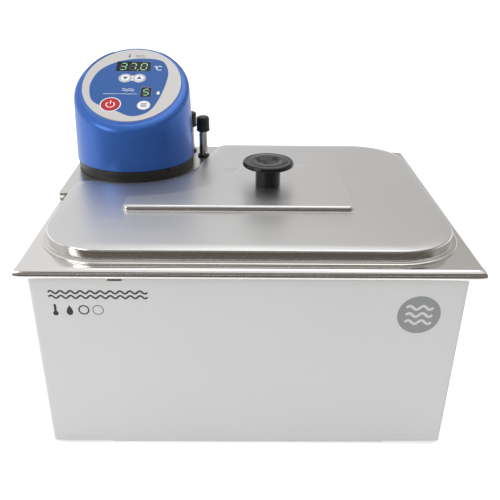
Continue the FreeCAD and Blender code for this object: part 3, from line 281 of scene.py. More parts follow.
def smooth_loop(points, steps=10):
    """Closed curve through a few points, by the Catmull-Rom formula on each stretch."""
    p1 = np.asarray(points, float)
    p0, p2, p3 = np.roll(p1, 1, 0), np.roll(p1, -1, 0), np.roll(p1, -2, 0)
    t = np.linspace(0, 1, steps, endpoint=False)[None, :, None]
    a, b, c, d = (p[:, None] for p in (p0, p1, p2, p3))
    curve = 0.5 * (2 * b + (c - a) * t + (2 * a - 5 * b + 4 * c - d) * t**2
                   + (3 * b - a - 3 * c + d) * t**3)
    return curve.reshape(-1, 2)


print("a ring print has", len(ring_loop(0, 0, 1)), "points")

# %% [markdown]
# ## Camera
# The camera looks down on the bath from the front at about 27 degrees, from half a metre away, with
# a lens a little longer than normal. A small shift frames the picture without turning the camera.

# %% Camera
CAMERA_PLACE = (-8.33, -508.12, 363.6)
CAMERA_DOWN = math.radians(27.49)
CAMERA_RIGHT = math.radians(0.73)
CAMERA_ROLL = math.radians(0.66)
SENSOR = 36.0
FOCAL = 1.2666
SHIFT = (0.0078, 0.0183)

lens = bpy.data.cameras.new("camera")
lens.sensor_width = SENSOR
lens.lens = SENSOR * FOCAL
lens.shift_x, lens.shift_y = SHIFT
lens.clip_start = 0.01
camera = bpy.data.objects.new("camera", lens)
aim = (Matrix.Rotation(-CAMERA_RIGHT, 4, "Z") @ Matrix.Rotation(math.pi / 2 - CAMERA_DOWN, 4, "X")
       @ Matrix.Rotation(CAMERA_ROLL, 4, "Z"))
camera.matrix_world = Matrix.Translation(Vector(CAMERA_PLACE) * MM) @ aim
scene.collection.objects.link(camera)
scene.camera = camera
print("lens", round(lens.lens, 1), "mm on a sensor of", SENSOR, "mm")

# %% [markdown]
# ## Studio
# Polished steel shows its surroundings, so the studio matters more than any colour. The room is
# white above, paler on the left than on the right, bright along the horizon behind, and dark low in
# front, but for one bright strip. That dark side draws the brown lines along the rim. The camera
# itself sees plain white behind the bath, so only reflections show the room.

# %% Floor
scene.view_settings.view_transform = "Standard"
FLOOR_HALF = 9


def level_sheet(name, low, high, height, material_name, **sockets):
    """Level rectangle in metres with one plain material, which is part of the stage."""
    mesh = bpy.data.meshes.new(name)
    (x0, y0), (x1, y1) = low, high
    corners = [(x0, y0, height), (x1, y0, height), (x1, y1, height), (x0, y1, height)]
    mesh.from_pydata(corners, [], [(0, 1, 2, 3)])
    thing = bpy.data.objects.new(name, mesh)
    scene.collection.objects.link(thing)
    material = bpy.data.materials.new(material_name)
    material.use_nodes = True
    for socket, value in sockets.items():
        material.node_tree.nodes["Principled BSDF"].inputs[socket.replace("_", " ")].default_value = value
    mesh.materials.append(material)
    return thing


floor = level_sheet("floor", (-FLOOR_HALF, -FLOOR_HALF), (FLOOR_HALF, FLOOR_HALF), 0, "paper",
                    Base_Color=(0.93, 0.93, 0.93, 1), Roughness=0.9, Specular_IOR_Level=0.1,
                    Emission_Color=(1, 1, 1, 1), Emission_Strength=0.45)
print("floor", 2 * FLOOR_HALF, "m across")

# %% Room for the reflections
ROOM_WHITE = (1.0, 1.0, 1.0)
ROOM_LEFT = (0.97, 0.97, 0.98)
ROOM_RIGHT = (0.55, 0.54, 0.53)
ROOM_HORIZON = (1.25, 1.25, 1.25)
ROOM_DARK = (0.075, 0.062, 0.05)
ROOM_STRENGTH = 0.95


def ramp(axis, low, high):
    """Share of a colour along an axis of the room: 0 at low, 1 at high, and smooth between."""
    node = tree.nodes.new("ShaderNodeMapRange")
    node.interpolation_type = "SMOOTHSTEP"
    node.inputs["From Min"].default_value = low
    node.inputs["From Max"].default_value = high
    tree.links.new(split.outputs[axis], node.inputs["Value"])
    return node.outputs["Result"]


def combine(kind, first, second):
    """One share made of two: MULTIPLY where both hold, MAXIMUM where either does."""
    node = tree.nodes.new("ShaderNodeMath")
    node.operation = kind
    tree.links.new(first, node.inputs[0])
    tree.links.new(second, node.inputs[1])
    return node.outputs[0]


def blend(share, first, second):
    """Mix of two colours by a share. Either may be a socket."""
    node = tree.nodes.new("ShaderNodeMix")
    node.data_type = "RGBA"
    for name, value in (("A", first), ("B", second)):
        if isinstance(value, tuple):
            node.inputs[name].default_value = (*value, 1)
        else:
            tree.links.new(value, node.inputs[name])
    tree.links.new(share, node.inputs["Factor"])
    return node.outputs["Result"]


world = bpy.data.worlds.new("room")
world.use_nodes = True
scene.world = world
tree = world.node_tree
direction = tree.nodes.new("ShaderNodeTexCoord")
split = tree.nodes.new("ShaderNodeSeparateXYZ")
tree.links.new(direction.outputs["Generated"], split.inputs[0])
low_in_front = combine("MULTIPLY", ramp("Y", -0.12, -0.42), ramp("Z", 0.86, 0.6))
beside_strip = combine("MAXIMUM", ramp("Z", 0.36, 0.30), ramp("Z", 0.42, 0.48))
horizon = combine("MULTIPLY", ramp("Y", 0.2, 0.5), ramp("Z", 0.22, 0.12))
color = blend(ramp("X", -0.32, 0.30), ROOM_LEFT, ROOM_RIGHT)
color = blend(ramp("Z", 0.52, 0.78), color, ROOM_WHITE)
color = blend(horizon, color, ROOM_HORIZON)
color = blend(combine("MULTIPLY", low_in_front, beside_strip), color, ROOM_DARK)
seen = tree.nodes.new("ShaderNodeLightPath")
color = blend(seen.outputs["Is Camera Ray"], color, ROOM_WHITE)
background = tree.nodes["Background"]
tree.links.new(color, background.inputs["Color"])
background.inputs["Strength"].default_value = ROOM_STRENGTH
print("room of", len(tree.nodes), "nodes")

# %% [markdown]
# The skirt of the lid and the front of the rim also mirror what lies on the bench in front of them.
# A dark cloth there keeps them brown. It shows only in reflections. A large soft light stands left
# of the camera and another hangs over the bath.

# %% A dark cloth in front and two lights
cloth = level_sheet("cloth", (-1.5, -1.9), (1.5, -0.27), 0.002, "felt",
                    Base_Color=(0.11, 0.095, 0.08, 1), Roughness=1.0)
cloth.visible_camera = cloth.visible_diffuse = cloth.visible_shadow = cloth.visible_transmission = False
BATH_MIDDLE = Vector((0, 0, 0.12))


def soft_light(name, place, size, watts):
    """Square soft light at a place in metres, turned to the middle of the bath."""
    lamp = bpy.data.lights.new(name, "AREA")
    lamp.size = size
    lamp.energy = watts
    thing = bpy.data.objects.new(name, lamp)
    thing.location = place
    thing.rotation_euler = (BATH_MIDDLE - Vector(place)).to_track_quat("-Z", "Y").to_euler()
    scene.collection.objects.link(thing)
    print(name, watts, "W")


soft_light("left_softbox", (-1.25, -0.95, 0.9), 0.8, 9.0)
soft_light("top_softbox", (0.2, 0.5, 1.6), 1.2, 6.0)

# %% [markdown]
# ## One recipe for a finish
# Every real finish varies: a slow drift of tone over the part, and a fine grain that breaks up the
# gloss and roughens the surface. One recipe holds both. A stretched grain is brushed steel, a fine
# even grain is moulded plastic, and hardly any grain is a polished face.

# %% The finish recipe
SLOW_SCALE = 14


def noise(tree, scale, detail, place):
    """Noise texture at a scale (repeats for each metre), read at a place."""
    node = tree.nodes.new("ShaderNodeTexNoise")
    node.inputs["Scale"].default_value = scale
    node.inputs["Detail"].default_value = detail
    tree.links.new(place, node.inputs["Vector"])
    return node.outputs["Fac"]


def finish(name, color, rough, metal=0.0, grain=900.0, stretch=(1, 1, 1), bump=0.15, depth=0.02,
           rough_drift=0.06, tone_drift=0.06, **constants):
    """Principled finish with a grain (repeats for each metre) and a slow drift of tone.

    constants are sockets that stay the same all over, named with underscores for spaces.
    """
    material = bpy.data.materials.new(name)
    material.use_nodes = True
    tree = material.node_tree
    shader = tree.nodes["Principled BSDF"]
    shader.inputs["Metallic"].default_value = metal
    for socket, value in constants.items():
        shader.inputs[socket.replace("_", " ")].default_value = value
    place = tree.nodes.new("ShaderNodeTexCoord")
    scale = tree.nodes.new("ShaderNodeMapping")
    scale.inputs["Scale"].default_value = stretch
    tree.links.new(place.outputs["Object"], scale.inputs["Vector"])
    fine = noise(tree, grain, 3, scale.outputs["Vector"])
    slow = noise(tree, SLOW_SCALE, 2, place.outputs["Object"])
    tone = tree.nodes.new("ShaderNodeMix")
    tone.data_type = "RGBA"
    tone.inputs["A"].default_value = (*[c * (1 - tone_drift) for c in color], 1)
    tone.inputs["B"].default_value = (*[min(1, c * (1 + tone_drift)) for c in color], 1)
    tree.links.new(slow, tone.inputs["Factor"])
    tree.links.new(tone.outputs["Result"], shader.inputs["Base Color"])
    gloss = tree.nodes.new("ShaderNodeMapRange")
    gloss.inputs["To Min"].default_value = max(0.02, rough - rough_drift)
    gloss.inputs["To Max"].default_value = min(1, rough + rough_drift)
    tree.links.new(fine, gloss.inputs["Value"])
    tree.links.new(gloss.outputs["Result"], shader.inputs["Roughness"])
    relief = tree.nodes.new("ShaderNodeBump")
    relief.inputs["Strength"].default_value = bump
    relief.inputs["Distance"].default_value = depth * MM
    tree.links.new(fine, relief.inputs["Height"])
    tree.links.new(relief.outputs["Normal"], shader.inputs["Normal"])
    return material


# %% [markdown]
# ## Steel
# The tank is deep-drawn stainless steel with a bright rolled rim. Under a soft light its grain is
# too fine to see, but it still spreads each reflection along the rolling direction.

# %% Steel finishes
rim_steel = finish("rim_steel", (0.74, 0.725, 0.705), 0.17, metal=1.0, grain=500, stretch=(0.08, 1, 1),
                   bump=0.25, depth=0.03, rough_drift=0.08)
well_steel = finish("well_steel", (0.60, 0.59, 0.57), 0.30, metal=1.0, grain=700, stretch=(1, 1, 0.1))
bridge_steel = finish("bridge_steel", (0.62, 0.61, 0.585), 0.24, metal=1.0, stretch=(0.06, 1, 1))
rod_steel = finish("rod_steel", (0.68, 0.66, 0.63), 0.12, metal=1.0, stretch=(1, 1, 0.06))
bolt_steel = finish("bolt_steel", (0.55, 0.54, 0.52), 0.32, metal=1.0, grain=1400)
black_oxide = finish("black_oxide", (0.02, 0.02, 0.021), 0.45, metal=0.6, grain=1600)
tray_steel = finish("tray_steel", (0.32, 0.33, 0.34), 0.42, metal=0.8, grain=160, tone_drift=0.25)
pin_brass = finish("pin_brass", (0.80, 0.62, 0.30), 0.22, metal=1.0, grain=1500)
skirt_steel = finish("skirt_steel", (0.66, 0.64, 0.61), 0.16, metal=1.0, grain=500,
                     stretch=(0.08, 0.08, 1), depth=0.02, rough_drift=0.04)
lid_steel = finish("lid_steel", (0.62, 0.615, 0.61), 0.35, metal=0.95, grain=800, stretch=(0.03, 1, 1),
                   bump=0.5, depth=0.12, rough_drift=0.05, tone_drift=0.03)
print(len(bpy.data.materials), "materials so far")

# %% Paint, plastics and rubber
casing_paint = finish("casing_paint", (0.625, 0.635, 0.63), 0.42, grain=1700, bump=0.2, depth=0.015,
                      tone_drift=0.015)
housing_blue = finish("housing_blue", (0.030, 0.125, 0.47), 0.33, metal=0.35, grain=2600, bump=0.12,
                      depth=0.01, tone_drift=0.04)
base_black = finish("base_black", (0.018, 0.017, 0.016), 0.42, grain=2200, bump=0.3)
knob_black = finish("knob_black", (0.006, 0.006, 0.007), 0.20, grain=1500, bump=0.03, depth=0.01,
                    rough_drift=0.03, Specular_IOR_Level=0.38)
cap_black = finish("cap_black", (0.012, 0.012, 0.013), 0.5, grain=2000, bump=0.3)
seal_black = finish("seal_black", (0.02, 0.02, 0.02), 0.6, grain=1400, bump=0.4)
film_grey = finish("film_grey", (0.60, 0.585, 0.57), 0.38, grain=3200, bump=0.1, depth=0.01,
                   tone_drift=0.02)
field_blue = finish("field_blue", (0.030, 0.115, 0.37), 0.45, grain=3200, bump=0.05, depth=0.01,
                    tone_drift=0.03, Specular_IOR_Level=0.2)
ink_white = finish("ink_white", (0.86, 0.87, 0.88), 0.4, grain=3000, tone_drift=0.02)
ink_blue = finish("ink_blue", (0.02, 0.05, 0.22), 0.4, grain=3000)
ink_dark = finish("ink_dark", (0.03, 0.032, 0.035), 0.5, grain=2600)
ink_grey = finish("ink_grey", (0.27, 0.28, 0.28), 0.5, grain=2600, tone_drift=0.04)
key_red = finish("key_red", (0.55, 0.012, 0.02), 0.42, grain=3000, bump=0.05, tone_drift=0.05,
                 Specular_IOR_Level=0.22)
window_dark = finish("window_dark", (0.006, 0.012, 0.010), 0.14, grain=2400, bump=0.0,
                     Specular_IOR_Level=0.12)
board_green = finish("board_green", (0.03, 0.16, 0.07), 0.4, grain=600, tone_drift=0.2)
moulding_black = finish("moulding_black", (0.02, 0.02, 0.02), 0.45, grain=1800, bump=0.3)
nylon_white = finish("nylon_white", (0.72, 0.71, 0.66), 0.5, grain=900, Subsurface_Weight=0.1)
motor_grey = finish("motor_grey", (0.10, 0.105, 0.11), 0.5, grain=900, bump=0.3)
wool = finish("wool", (0.62, 0.56, 0.36), 0.95, grain=260, bump=0.9, depth=1.2, tone_drift=0.25)
digit_green = finish("digit_green", (0.22, 0.42, 0.29), 0.4, grain=2000,
                     Emission_Color=(0.5, 1.0, 0.62, 1), Emission_Strength=0.22)
digit_off = finish("digit_off", (0.020, 0.038, 0.030), 0.3, grain=2000)
print(len(bpy.data.materials), "materials in all")

# %% [markdown]
# ## Finishes for the parts as they came
# Screws, nuts, tubes and everything inside the head already have their true shape in the frame, so
# they only need a finish.

# %% Dress the parts of the frame
def dress(material, *nodes):
    """Give each node its one material."""
    for node in nodes:
        mesh = frame["nodes"][node].data
        mesh.materials.clear()
        mesh.materials.append(material)


dress(casing_paint, "casing")
dress(tray_steel, "base_plate")
dress(seal_black, "feet", "head_gasket", "tube_grommets")
dress(wool, "insulation_base", "insulation_wrap")
dress(base_black, "head_base")
dress(film_grey, "keypad_panel")
dress(key_red, "power_button")
dress(ink_white, "down_button", "up_button", "mode_button")
dress(window_dark, "temperature_display", "flow_display")
dress(board_green, "control_board", "power_board")
dress(moulding_black, "key_switches", "power_transformer", "mains_inlet", "pump_housing", "pump_cover",
      "impeller")
dress(nylon_white, "board_standoffs", "shaft_bush", "level_float")
dress(pin_brass, "inlet_pins")
dress(motor_grey, "pump_motor")
dress(rod_steel, "pump_shaft", "pump_stem", "heater_coil", "temperature_probe", "level_stem",
      "outlet_tube", "return_tube")
dress(black_oxide, "side_screws")
dress(bolt_steel, "casing_screws", "base_screws", "pump_cover_screws", "gland_nuts",
      "tube_nuts", "knob_washer", "knob_screw")
print(len(frame["nodes"]), "nodes, of which seven get a surface of their own below")

# %% [markdown]
# ## Tank
# The tank is one drawn sheet: a rolled bead, a flat flange, a rounded edge, leaning walls and a
# filleted floor. The bead follows a rectangle with mitred corners and the well a rounded rectangle,
# so each column of the grid starts on one line and ends on the other.

# %% Tank surface
FLANGE_X, FLANGE_Y = 13.0, 12.5
WELL_CORNER = 48.0
BEAD = 4.2
WELL_EDGE = 2.4
WELL_LEAN = 7.0
FLOOR_ROUND = 12.0
MITRE_DEPTH = 0.7
TANK_SHEET = 1.0
CORNER_COLUMNS = 29
BRIGHT_ROWS = 19
CORNER_CENTRE = np.array([RIM_HALF_X - FLANGE_X, RIM_HALF_Y - FLANGE_Y]) - WELL_CORNER


def four_corners(corner):
    """One corner's line mirrored to the other three, in order round the tank."""
    return np.concatenate([corner, (corner * [-1, 1])[::-1], corner * [-1, -1], (corner * [1, -1])[::-1]])


def rim_line(outset):
    """The mitred rectangle: centre + (clip(2 - f, 0, 1), clip(f, 0, 1)) * reach on each corner.

    f runs from 0 to 2: up to 1 the point climbs the first side, and after 1 it goes along the second,
    so the mitre is always at f = 1.
    """
    reach = np.array([RIM_HALF_X, RIM_HALF_Y]) - BEAD + outset - CORNER_CENTRE
    f = np.linspace(0, 2, CORNER_COLUMNS)
    return four_corners(CORNER_CENTRE + np.stack([np.clip(2 - f, 0, 1), np.clip(f, 0, 1)], axis=1) * reach)


def well_line(outset):
    """The well's rounded rectangle: centre + (radius + outset) * (cos t, sin t) on each corner."""
    turn = np.radians(np.linspace(0, 90, CORNER_COLUMNS))
    ray = np.stack([np.cos(turn), np.sin(turn)], axis=1)
    return four_corners(CORNER_CENTRE + (WELL_CORNER + outset) * ray)


def at_height(line, height):
    return np.concatenate([line, np.full((len(line), 1), height)], axis=1)


def tank_rows():
    """Rows from the bead's underside over the rim and down to the floor, each an arc in the angle a.

    Bead: outset b cos a, height RIM_TOP - b + b sin a. Well's edge: outset e (1 - cos a), height
    RIM_TOP - e + e sin a. Floor's round: inset lean + r (1 - cos a), height floor + r (1 - sin a).
    """
    rows = []
    mitres = np.arange(4) * CORNER_COLUMNS + CORNER_COLUMNS // 2
    for a in np.radians(np.linspace(-110, 90, 15)):
        line = rim_line(BEAD * math.cos(a))
        line[mitres] -= np.sign(line[mitres]) * MITRE_DEPTH
        rows.append(at_height(line, RIM_TOP - BEAD + BEAD * math.sin(a)))
    rows.append(at_height(rim_line(-1.0), RIM_TOP))
    rows.append(at_height(well_line(WELL_EDGE + 1.0), RIM_TOP))
    for a in np.radians(np.linspace(90, 0, 6)):
        line = well_line(WELL_EDGE * (1 - math.cos(a)))
        rows.append(at_height(line, RIM_TOP - WELL_EDGE + WELL_EDGE * math.sin(a)))
    floor_z = rim_low[2] + TANK_SHEET
    for a in np.radians(np.linspace(0, 90, 8)):
        line = well_line(-WELL_LEAN - FLOOR_ROUND * (1 - math.cos(a)))
        rows.append(at_height(line, floor_z + FLOOR_ROUND * (1 - math.sin(a))))
    return np.array(rows)


rows = tank_rows()
quads = grid_faces(*rows.shape[:2])
finishes = [0 if i // rows.shape[1] < BRIGHT_ROWS else 1 for i in range(len(quads))] + [1]
tank = make_piece("tank", rows, quads + [last_row(rows)], [rim_steel, well_steel], "bath",
                  finishes)
add_thickness(tank, TANK_SHEET)
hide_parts("bath_pan")
print("tank", rows.shape)

# %% [markdown]
# ## Bridge plate
# A folded steel plate carries the head across the corner of the tank. It is a rounded rectangle with
# a small bend radius along its folds. The bend is smaller than the plan's corner radius: an outline
# moved in by more than its corner radius would turn over on itself.

# %% Bridge plate
plate_low, plate_high = span("bridge_plate")
FOLD = 1.5
PLATE_SHEET = 1.4
PLATE_CORNER = 2.0
half, middle = (plate_high - plate_low) / 2, (plate_high + plate_low) / 2
folds = np.concatenate([[(0, plate_low[2] + 0.05)], bend(FOLD, plate_high[2] - FOLD, FOLD, 0, 90),
                        [(FOLD + 0.3, plate_high[2])]])
rows = sweep(rounded_rectangle(*half[:2], PLATE_CORNER, *middle[:2]), folds)
bridge = make_piece("bridge", rows, grid_faces(*rows.shape[:2]) + [last_row(rows)], [bridge_steel],
                    "bath")
add_thickness(bridge, PLATE_SHEET, even=False)
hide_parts("bridge_plate")
print("bridge", rows.shape)

# %% [markdown]
# ## Lid
# The lid is one pressed sheet of satin stainless steel: a hemmed foot, an upright skirt, a rounded
# edge, a border that rolls gently down, a flat top and a raised middle. Its outline is hollowed
# round the head by a large arc. Over the bridge plate there is no skirt, so its rows are gathered
# there into a thin edge just above the plate.

# %% Lid outlines
LID_FOOT = 4.5
LID_CORNER = 47.0
LID_HOLLOW = 61.5
LEFT_CORNER, BACK_CORNER = 15.0, 10.0
HOLLOW_END = -6.0
CAP_GAP = 0.8
lid_high = span("lid_shell")[1]
wall_x, wall_y = lid_high[0] - LID_FOOT, lid_high[1] - LID_FOOT
cap_low, cap_high = span("outlet_cap")


def lid_outline():
    """Plan of the lid: three round corners, a straight flared side and the hollow round the head.

    The corner of radius q before the hollow touches the left wall x = -w from inside and the hollow of
    radius h from outside: its centre is q from the wall and h + q from the head. The flared side runs
    from the hollow's end past the outlet's cap.
    """
    left_x = -wall_x + LEFT_CORNER
    left_y = HEAD_Y - math.sqrt((LID_HOLLOW + LEFT_CORNER) ** 2 - (left_x - HEAD_X) ** 2)
    meet = math.degrees(math.atan2(left_y - HEAD_Y, left_x - HEAD_X))
    end = math.radians(HOLLOW_END)
    hollow_end = np.array([HEAD_X, HEAD_Y]) + LID_HOLLOW * np.array([math.cos(end), math.sin(end)])
    past_cap = [cap_high[0] + CAP_GAP, (cap_low[1] + cap_high[1]) / 2]
    lean = math.atan2(*(past_cap - hollow_end)[::-1])
    foot = hollow_end + BACK_CORNER * np.array([math.sin(lean), -math.cos(lean)])
    back_x = foot[0] + (wall_y - BACK_CORNER - foot[1]) / math.tan(lean)
    x, y = wall_x - LID_CORNER, wall_y - LID_CORNER
    return outline([(x, -y, LID_CORNER, -90, 0), (x, y, LID_CORNER, 0, 90),
                    (back_x, wall_y - BACK_CORNER, BACK_CORNER, 90, math.degrees(lean) + 90),
                    (HEAD_X, HEAD_Y, LID_HOLLOW, HOLLOW_END, meet),
                    (left_x, left_y, LEFT_CORNER, meet + 180, 180), (-x, -y, LID_CORNER, 180, 270)])


line, normals = lid_outline()
print("lid outline", line.shape, line.min(0).round(1), line.max(0).round(1))

# %% [markdown]
# One profile is carried round that outline, from the foot's outer edge up the skirt, over the round
# edge and down the border's gentle roll. No row lies further in than the smallest round corner.

# %% Lid surface
FOOT_TALL = 1.7
LID_EDGE = 1.6
STEP_EDGE = 2.4
LID_SHEET = 0.9
ROLL_DROP = 0.7
ROLL_WIDE = 8.0
SKIRT_END = 8
PLATE_MARGIN = 1.0
OVER_PLATE_Z = plate_high[2] + 0.45
OVER_PLATE_STEP = 0.06
TOP_Z = 169.2
PLATEAU_Z = lid_high[2]


def lid_rows():
    """Profile of (inset, height) from the foot's edge over the skirt and round the edge to the border.

    The border's height is TOP_Z - ROLL_DROP (1 - s)^2, with s from 0 at the edge to 1 at its inside.
    """
    profile = [(-LID_FOOT + 0.1, RIM_TOP + 0.05), (-LID_FOOT + 0.15, RIM_TOP + FOOT_TALL - 0.9),
               (-LID_FOOT + 0.7, RIM_TOP + FOOT_TALL - 0.3), (-LID_FOOT + 1.7, RIM_TOP + FOOT_TALL),
               (-LID_FOOT + 2.7, RIM_TOP + FOOT_TALL - 0.2), (-1.2, RIM_TOP + FOOT_TALL - 0.1),
               (-0.3, RIM_TOP + FOOT_TALL + 0.2), (0.0, RIM_TOP + FOOT_TALL + 1.1)]
    profile += bend(LID_EDGE, TOP_Z - ROLL_DROP - LID_EDGE, LID_EDGE, 0, 84).tolist()
    share = np.linspace(0.12, 1, 9)
    border = TOP_Z - ROLL_DROP * (1 - share) ** 2
    profile += np.stack([LID_EDGE + ROLL_WIDE * share, border], axis=1).tolist()
    profile.append((LID_EDGE + ROLL_WIDE + 0.3, TOP_Z))
    return sweep((line, normals), profile)


rows = lid_rows()
over_plate = ((rows[0, :, 0] < plate_high[0] + PLATE_MARGIN)
              & (rows[0, :, 1] > plate_low[1] - PLATE_MARGIN))
rows[:, over_plate, 2] = np.maximum(rows[:, over_plate, 2], OVER_PLATE_Z)
rows[:SKIRT_END, over_plate, :2] = rows[SKIRT_END - 1, over_plate, :2]
rows[:SKIRT_END, over_plate, 2] = OVER_PLATE_Z + OVER_PLATE_STEP * np.arange(SKIRT_END)[:, None]
print("lid rows", rows.shape, "columns over the plate", int(over_plate.sum()))

# %% [markdown]
# The raised middle has one hollow side, an arc about the head's axis. Where that arc meets a
# straight side, the corner's circle touches both: its centre is the corner radius from the side and
# the sum of the two radii from the head's axis.

# %% Raised middle and the finished lid
PLATEAU = {"left": -99.0, "right": 81.0, "front": -54.0, "back": 47.0, "arc": 102.5, "corner": 4.0}
SKIRT_BRIGHT = 11
STEP_BRIGHT = range(2, 6)


def plateau_outline():
    """Plan of the raised middle: corners of radius q, and the hollow arc of radius h about the head.

    A corner beside the arc has its centre h + q from the head's axis: x = HEAD_X + sqrt((h + q)^2 -
    (y - HEAD_Y)^2) at the back, and the same with x and y exchanged at the left.
    """
    q, reach = PLATEAU["corner"], PLATEAU["arc"] + PLATEAU["corner"]
    right, front = PLATEAU["right"] - q, PLATEAU["front"] + q
    back, left = PLATEAU["back"] - q, PLATEAU["left"] + q
    back_x = HEAD_X + math.sqrt(reach**2 - (back - HEAD_Y) ** 2)
    left_y = HEAD_Y - math.sqrt(reach**2 - (left - HEAD_X) ** 2)
    to_back = math.degrees(math.atan2(back - HEAD_Y, back_x - HEAD_X))
    to_left = math.degrees(math.atan2(left_y - HEAD_Y, left - HEAD_X))
    return outline([(right, front, q, -90, 0), (right, back, q, 0, 90),
                    (back_x, back, q, 90, to_back + 180), (HEAD_X, HEAD_Y, PLATEAU["arc"], to_back, to_left),
                    (left, left_y, q, to_left + 180, 180), (left, front, q, 180, 270)])


step = [(-2.4, TOP_Z), (-1.1, TOP_Z), (-0.35, TOP_Z + 0.25), (0.0, TOP_Z + 0.9)]
step += bend(STEP_EDGE, PLATEAU_Z - STEP_EDGE, STEP_EDGE, 0, 90).tolist()
step.append((STEP_EDGE + 1.2, PLATEAU_Z))
raised = sweep(plateau_outline(), step)
around, raised_around = rows.shape[1], raised.shape[1]
total = rows.shape[0] * around
wall = grid_faces(*rows.shape[:2])
climb = (np.array(grid_faces(*raised.shape[:2])) + total).tolist()
numbers = last_row(rows) + [total + i for i in range(raised_around)][::-1]
flat = [[numbers[i] for i in t] for t in triangles([rows[-1, :, :2], raised[0, ::-1, :2]])]
roof_start = total + last_row(raised)[0]
roof = [[i + roof_start for i in t] for t in triangles([raised[-1, :, :2]])]
bright_wall = [int(i // around < SKIRT_BRIGHT) for i in range(len(wall))]
bright_step = [int(i // raised_around in STEP_BRIGHT) for i in range(len(climb))]
lid = make_piece("lid", np.concatenate([rows.reshape(-1, 3), raised.reshape(-1, 3)]),
                 wall + flat + climb + roof, [lid_steel, skirt_steel], "lid",
                 bright_wall + [0] * len(flat) + bright_step + [0] * len(roof))
add_thickness(lid, LID_SHEET, even=False)
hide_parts("lid_shell")
print("lid", len(lid.data.vertices), "points")

# %% [markdown]
# ## Knob
# The knob is turned: a stem, a flare, a round-edged cap, a groove near its rim and a dished top with
# a dimple. A profile of radius and height is carried round the axis. The cap's lower and upper edges
# are arcs: r = c + q sin a, z = d - q cos a below, and r = c + q cos a, z = d + q sin a above.

# %% Knob
knob_low, knob_high = span("lid_knob")
KNOB_X, KNOB_Y = ((knob_low + knob_high) / 2)[:2]
knob_top = knob_high[2]
under = knob_top - 4.2
profile = [(10.2, knob_low[2] + 0.02), (10.4, knob_low[2] + 0.4), (10.4, under - 2.0), (10.9, under - 0.9),
           (12.2, under - 0.05), (19.6, under + 0.02)]
profile += [(20.0 + 1.15 * math.sin(a), under + 1.2 - 1.15 * math.cos(a))
            for a in np.linspace(0.2, 1.5, 6)]
profile += [(21.15, knob_top - 2.0)]
profile += [(19.4 + 1.75 * math.cos(a), knob_top - 1.9 + 1.7 * math.sin(a))
            for a in np.linspace(0.1, 1.45, 8)]
profile += [(17.4, knob_top - 0.14), (17.1, knob_top - 0.35), (16.8, knob_top - 0.14),
            (16.4, knob_top - 0.03), (10.9, knob_top), (10.2, knob_top - 0.18),
            (8.4, knob_top - 2.0), (7.8, knob_top - 2.2),
            (2.4, knob_top - 2.25), (1.9, knob_top - 2.5), (0.5, knob_top - 3.1)]
knob = turned("knob", KNOB_X, KNOB_Y, profile, knob_black, "lid")
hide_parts("lid_knob")
print("knob", len(profile), "rings, top at", round(knob_top, 1))

# %% [markdown]
# ## Caps on the hose tubes
# The two soft caps are moulded, with a rounded crown and a small bead at the mouth. They are turned
# like the knob, from the inside of the mouth out over the bead and up to the middle of the crown.

# %% Caps
for name, body in (("outlet", "outlet_plug"), ("return", "return_plug")):
    low, high = span(name + "_cap")
    x, y = ((low + high) / 2)[:2]
    tall = [(4.1, high[2] - 3.0), (4.1, low[2] + 0.3), (4.5, low[2] + 0.02), (6.1, low[2] + 0.02),
            (6.45, low[2] + 0.4), (6.45, low[2] + 1.4), (6.1, low[2] + 1.8), (6.1, high[2] - 2.4)]
    tall += [(3.9 + 2.2 * math.cos(a), high[2] - 2.4 + 2.38 * math.sin(a)) for a in np.linspace(0.2, 1.5, 7)]
    tall += [(0.4, high[2])]
    cap = turned(name + "_soft_cap", x, y, tall, cap_black, body)
    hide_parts(name + "_cap")
    print(cap.name, "at", round(x, 1), round(y, 1))

# %% [markdown]
# ## Head housing
# The housing is a leaning round wall cut by the sloping face of the keypad. In each upright plane
# through the axis the wall and the slope meet in an arc that touches both. With m the slope of the
# face in that plane, the arc's centre is at r = R - q, z = P + m (R - q) - q sqrt(1 + m^2). The back
# wall is left open for the mains inlet.

# %% Housing surface
EDGE_MIDDLE, EDGE_CHANGE = 6.4, 2.4
UNDER_SLOPE = 0.14
LEAN = 0.036
SHELL = 2.3
SEAM = 0.35
SEAM_ROUND = 0.5
HOLE_ROOM = 0.08
RECESS = PANEL_HALF_U + 0.25
RECESS_FLOOR = -1.02
LEDGE = PANEL_HALF_U - 3.9
HOLE_HEIGHT = 24
FULL_WALL = 60.0
inlet_low, inlet_high = span("mains_inlet")


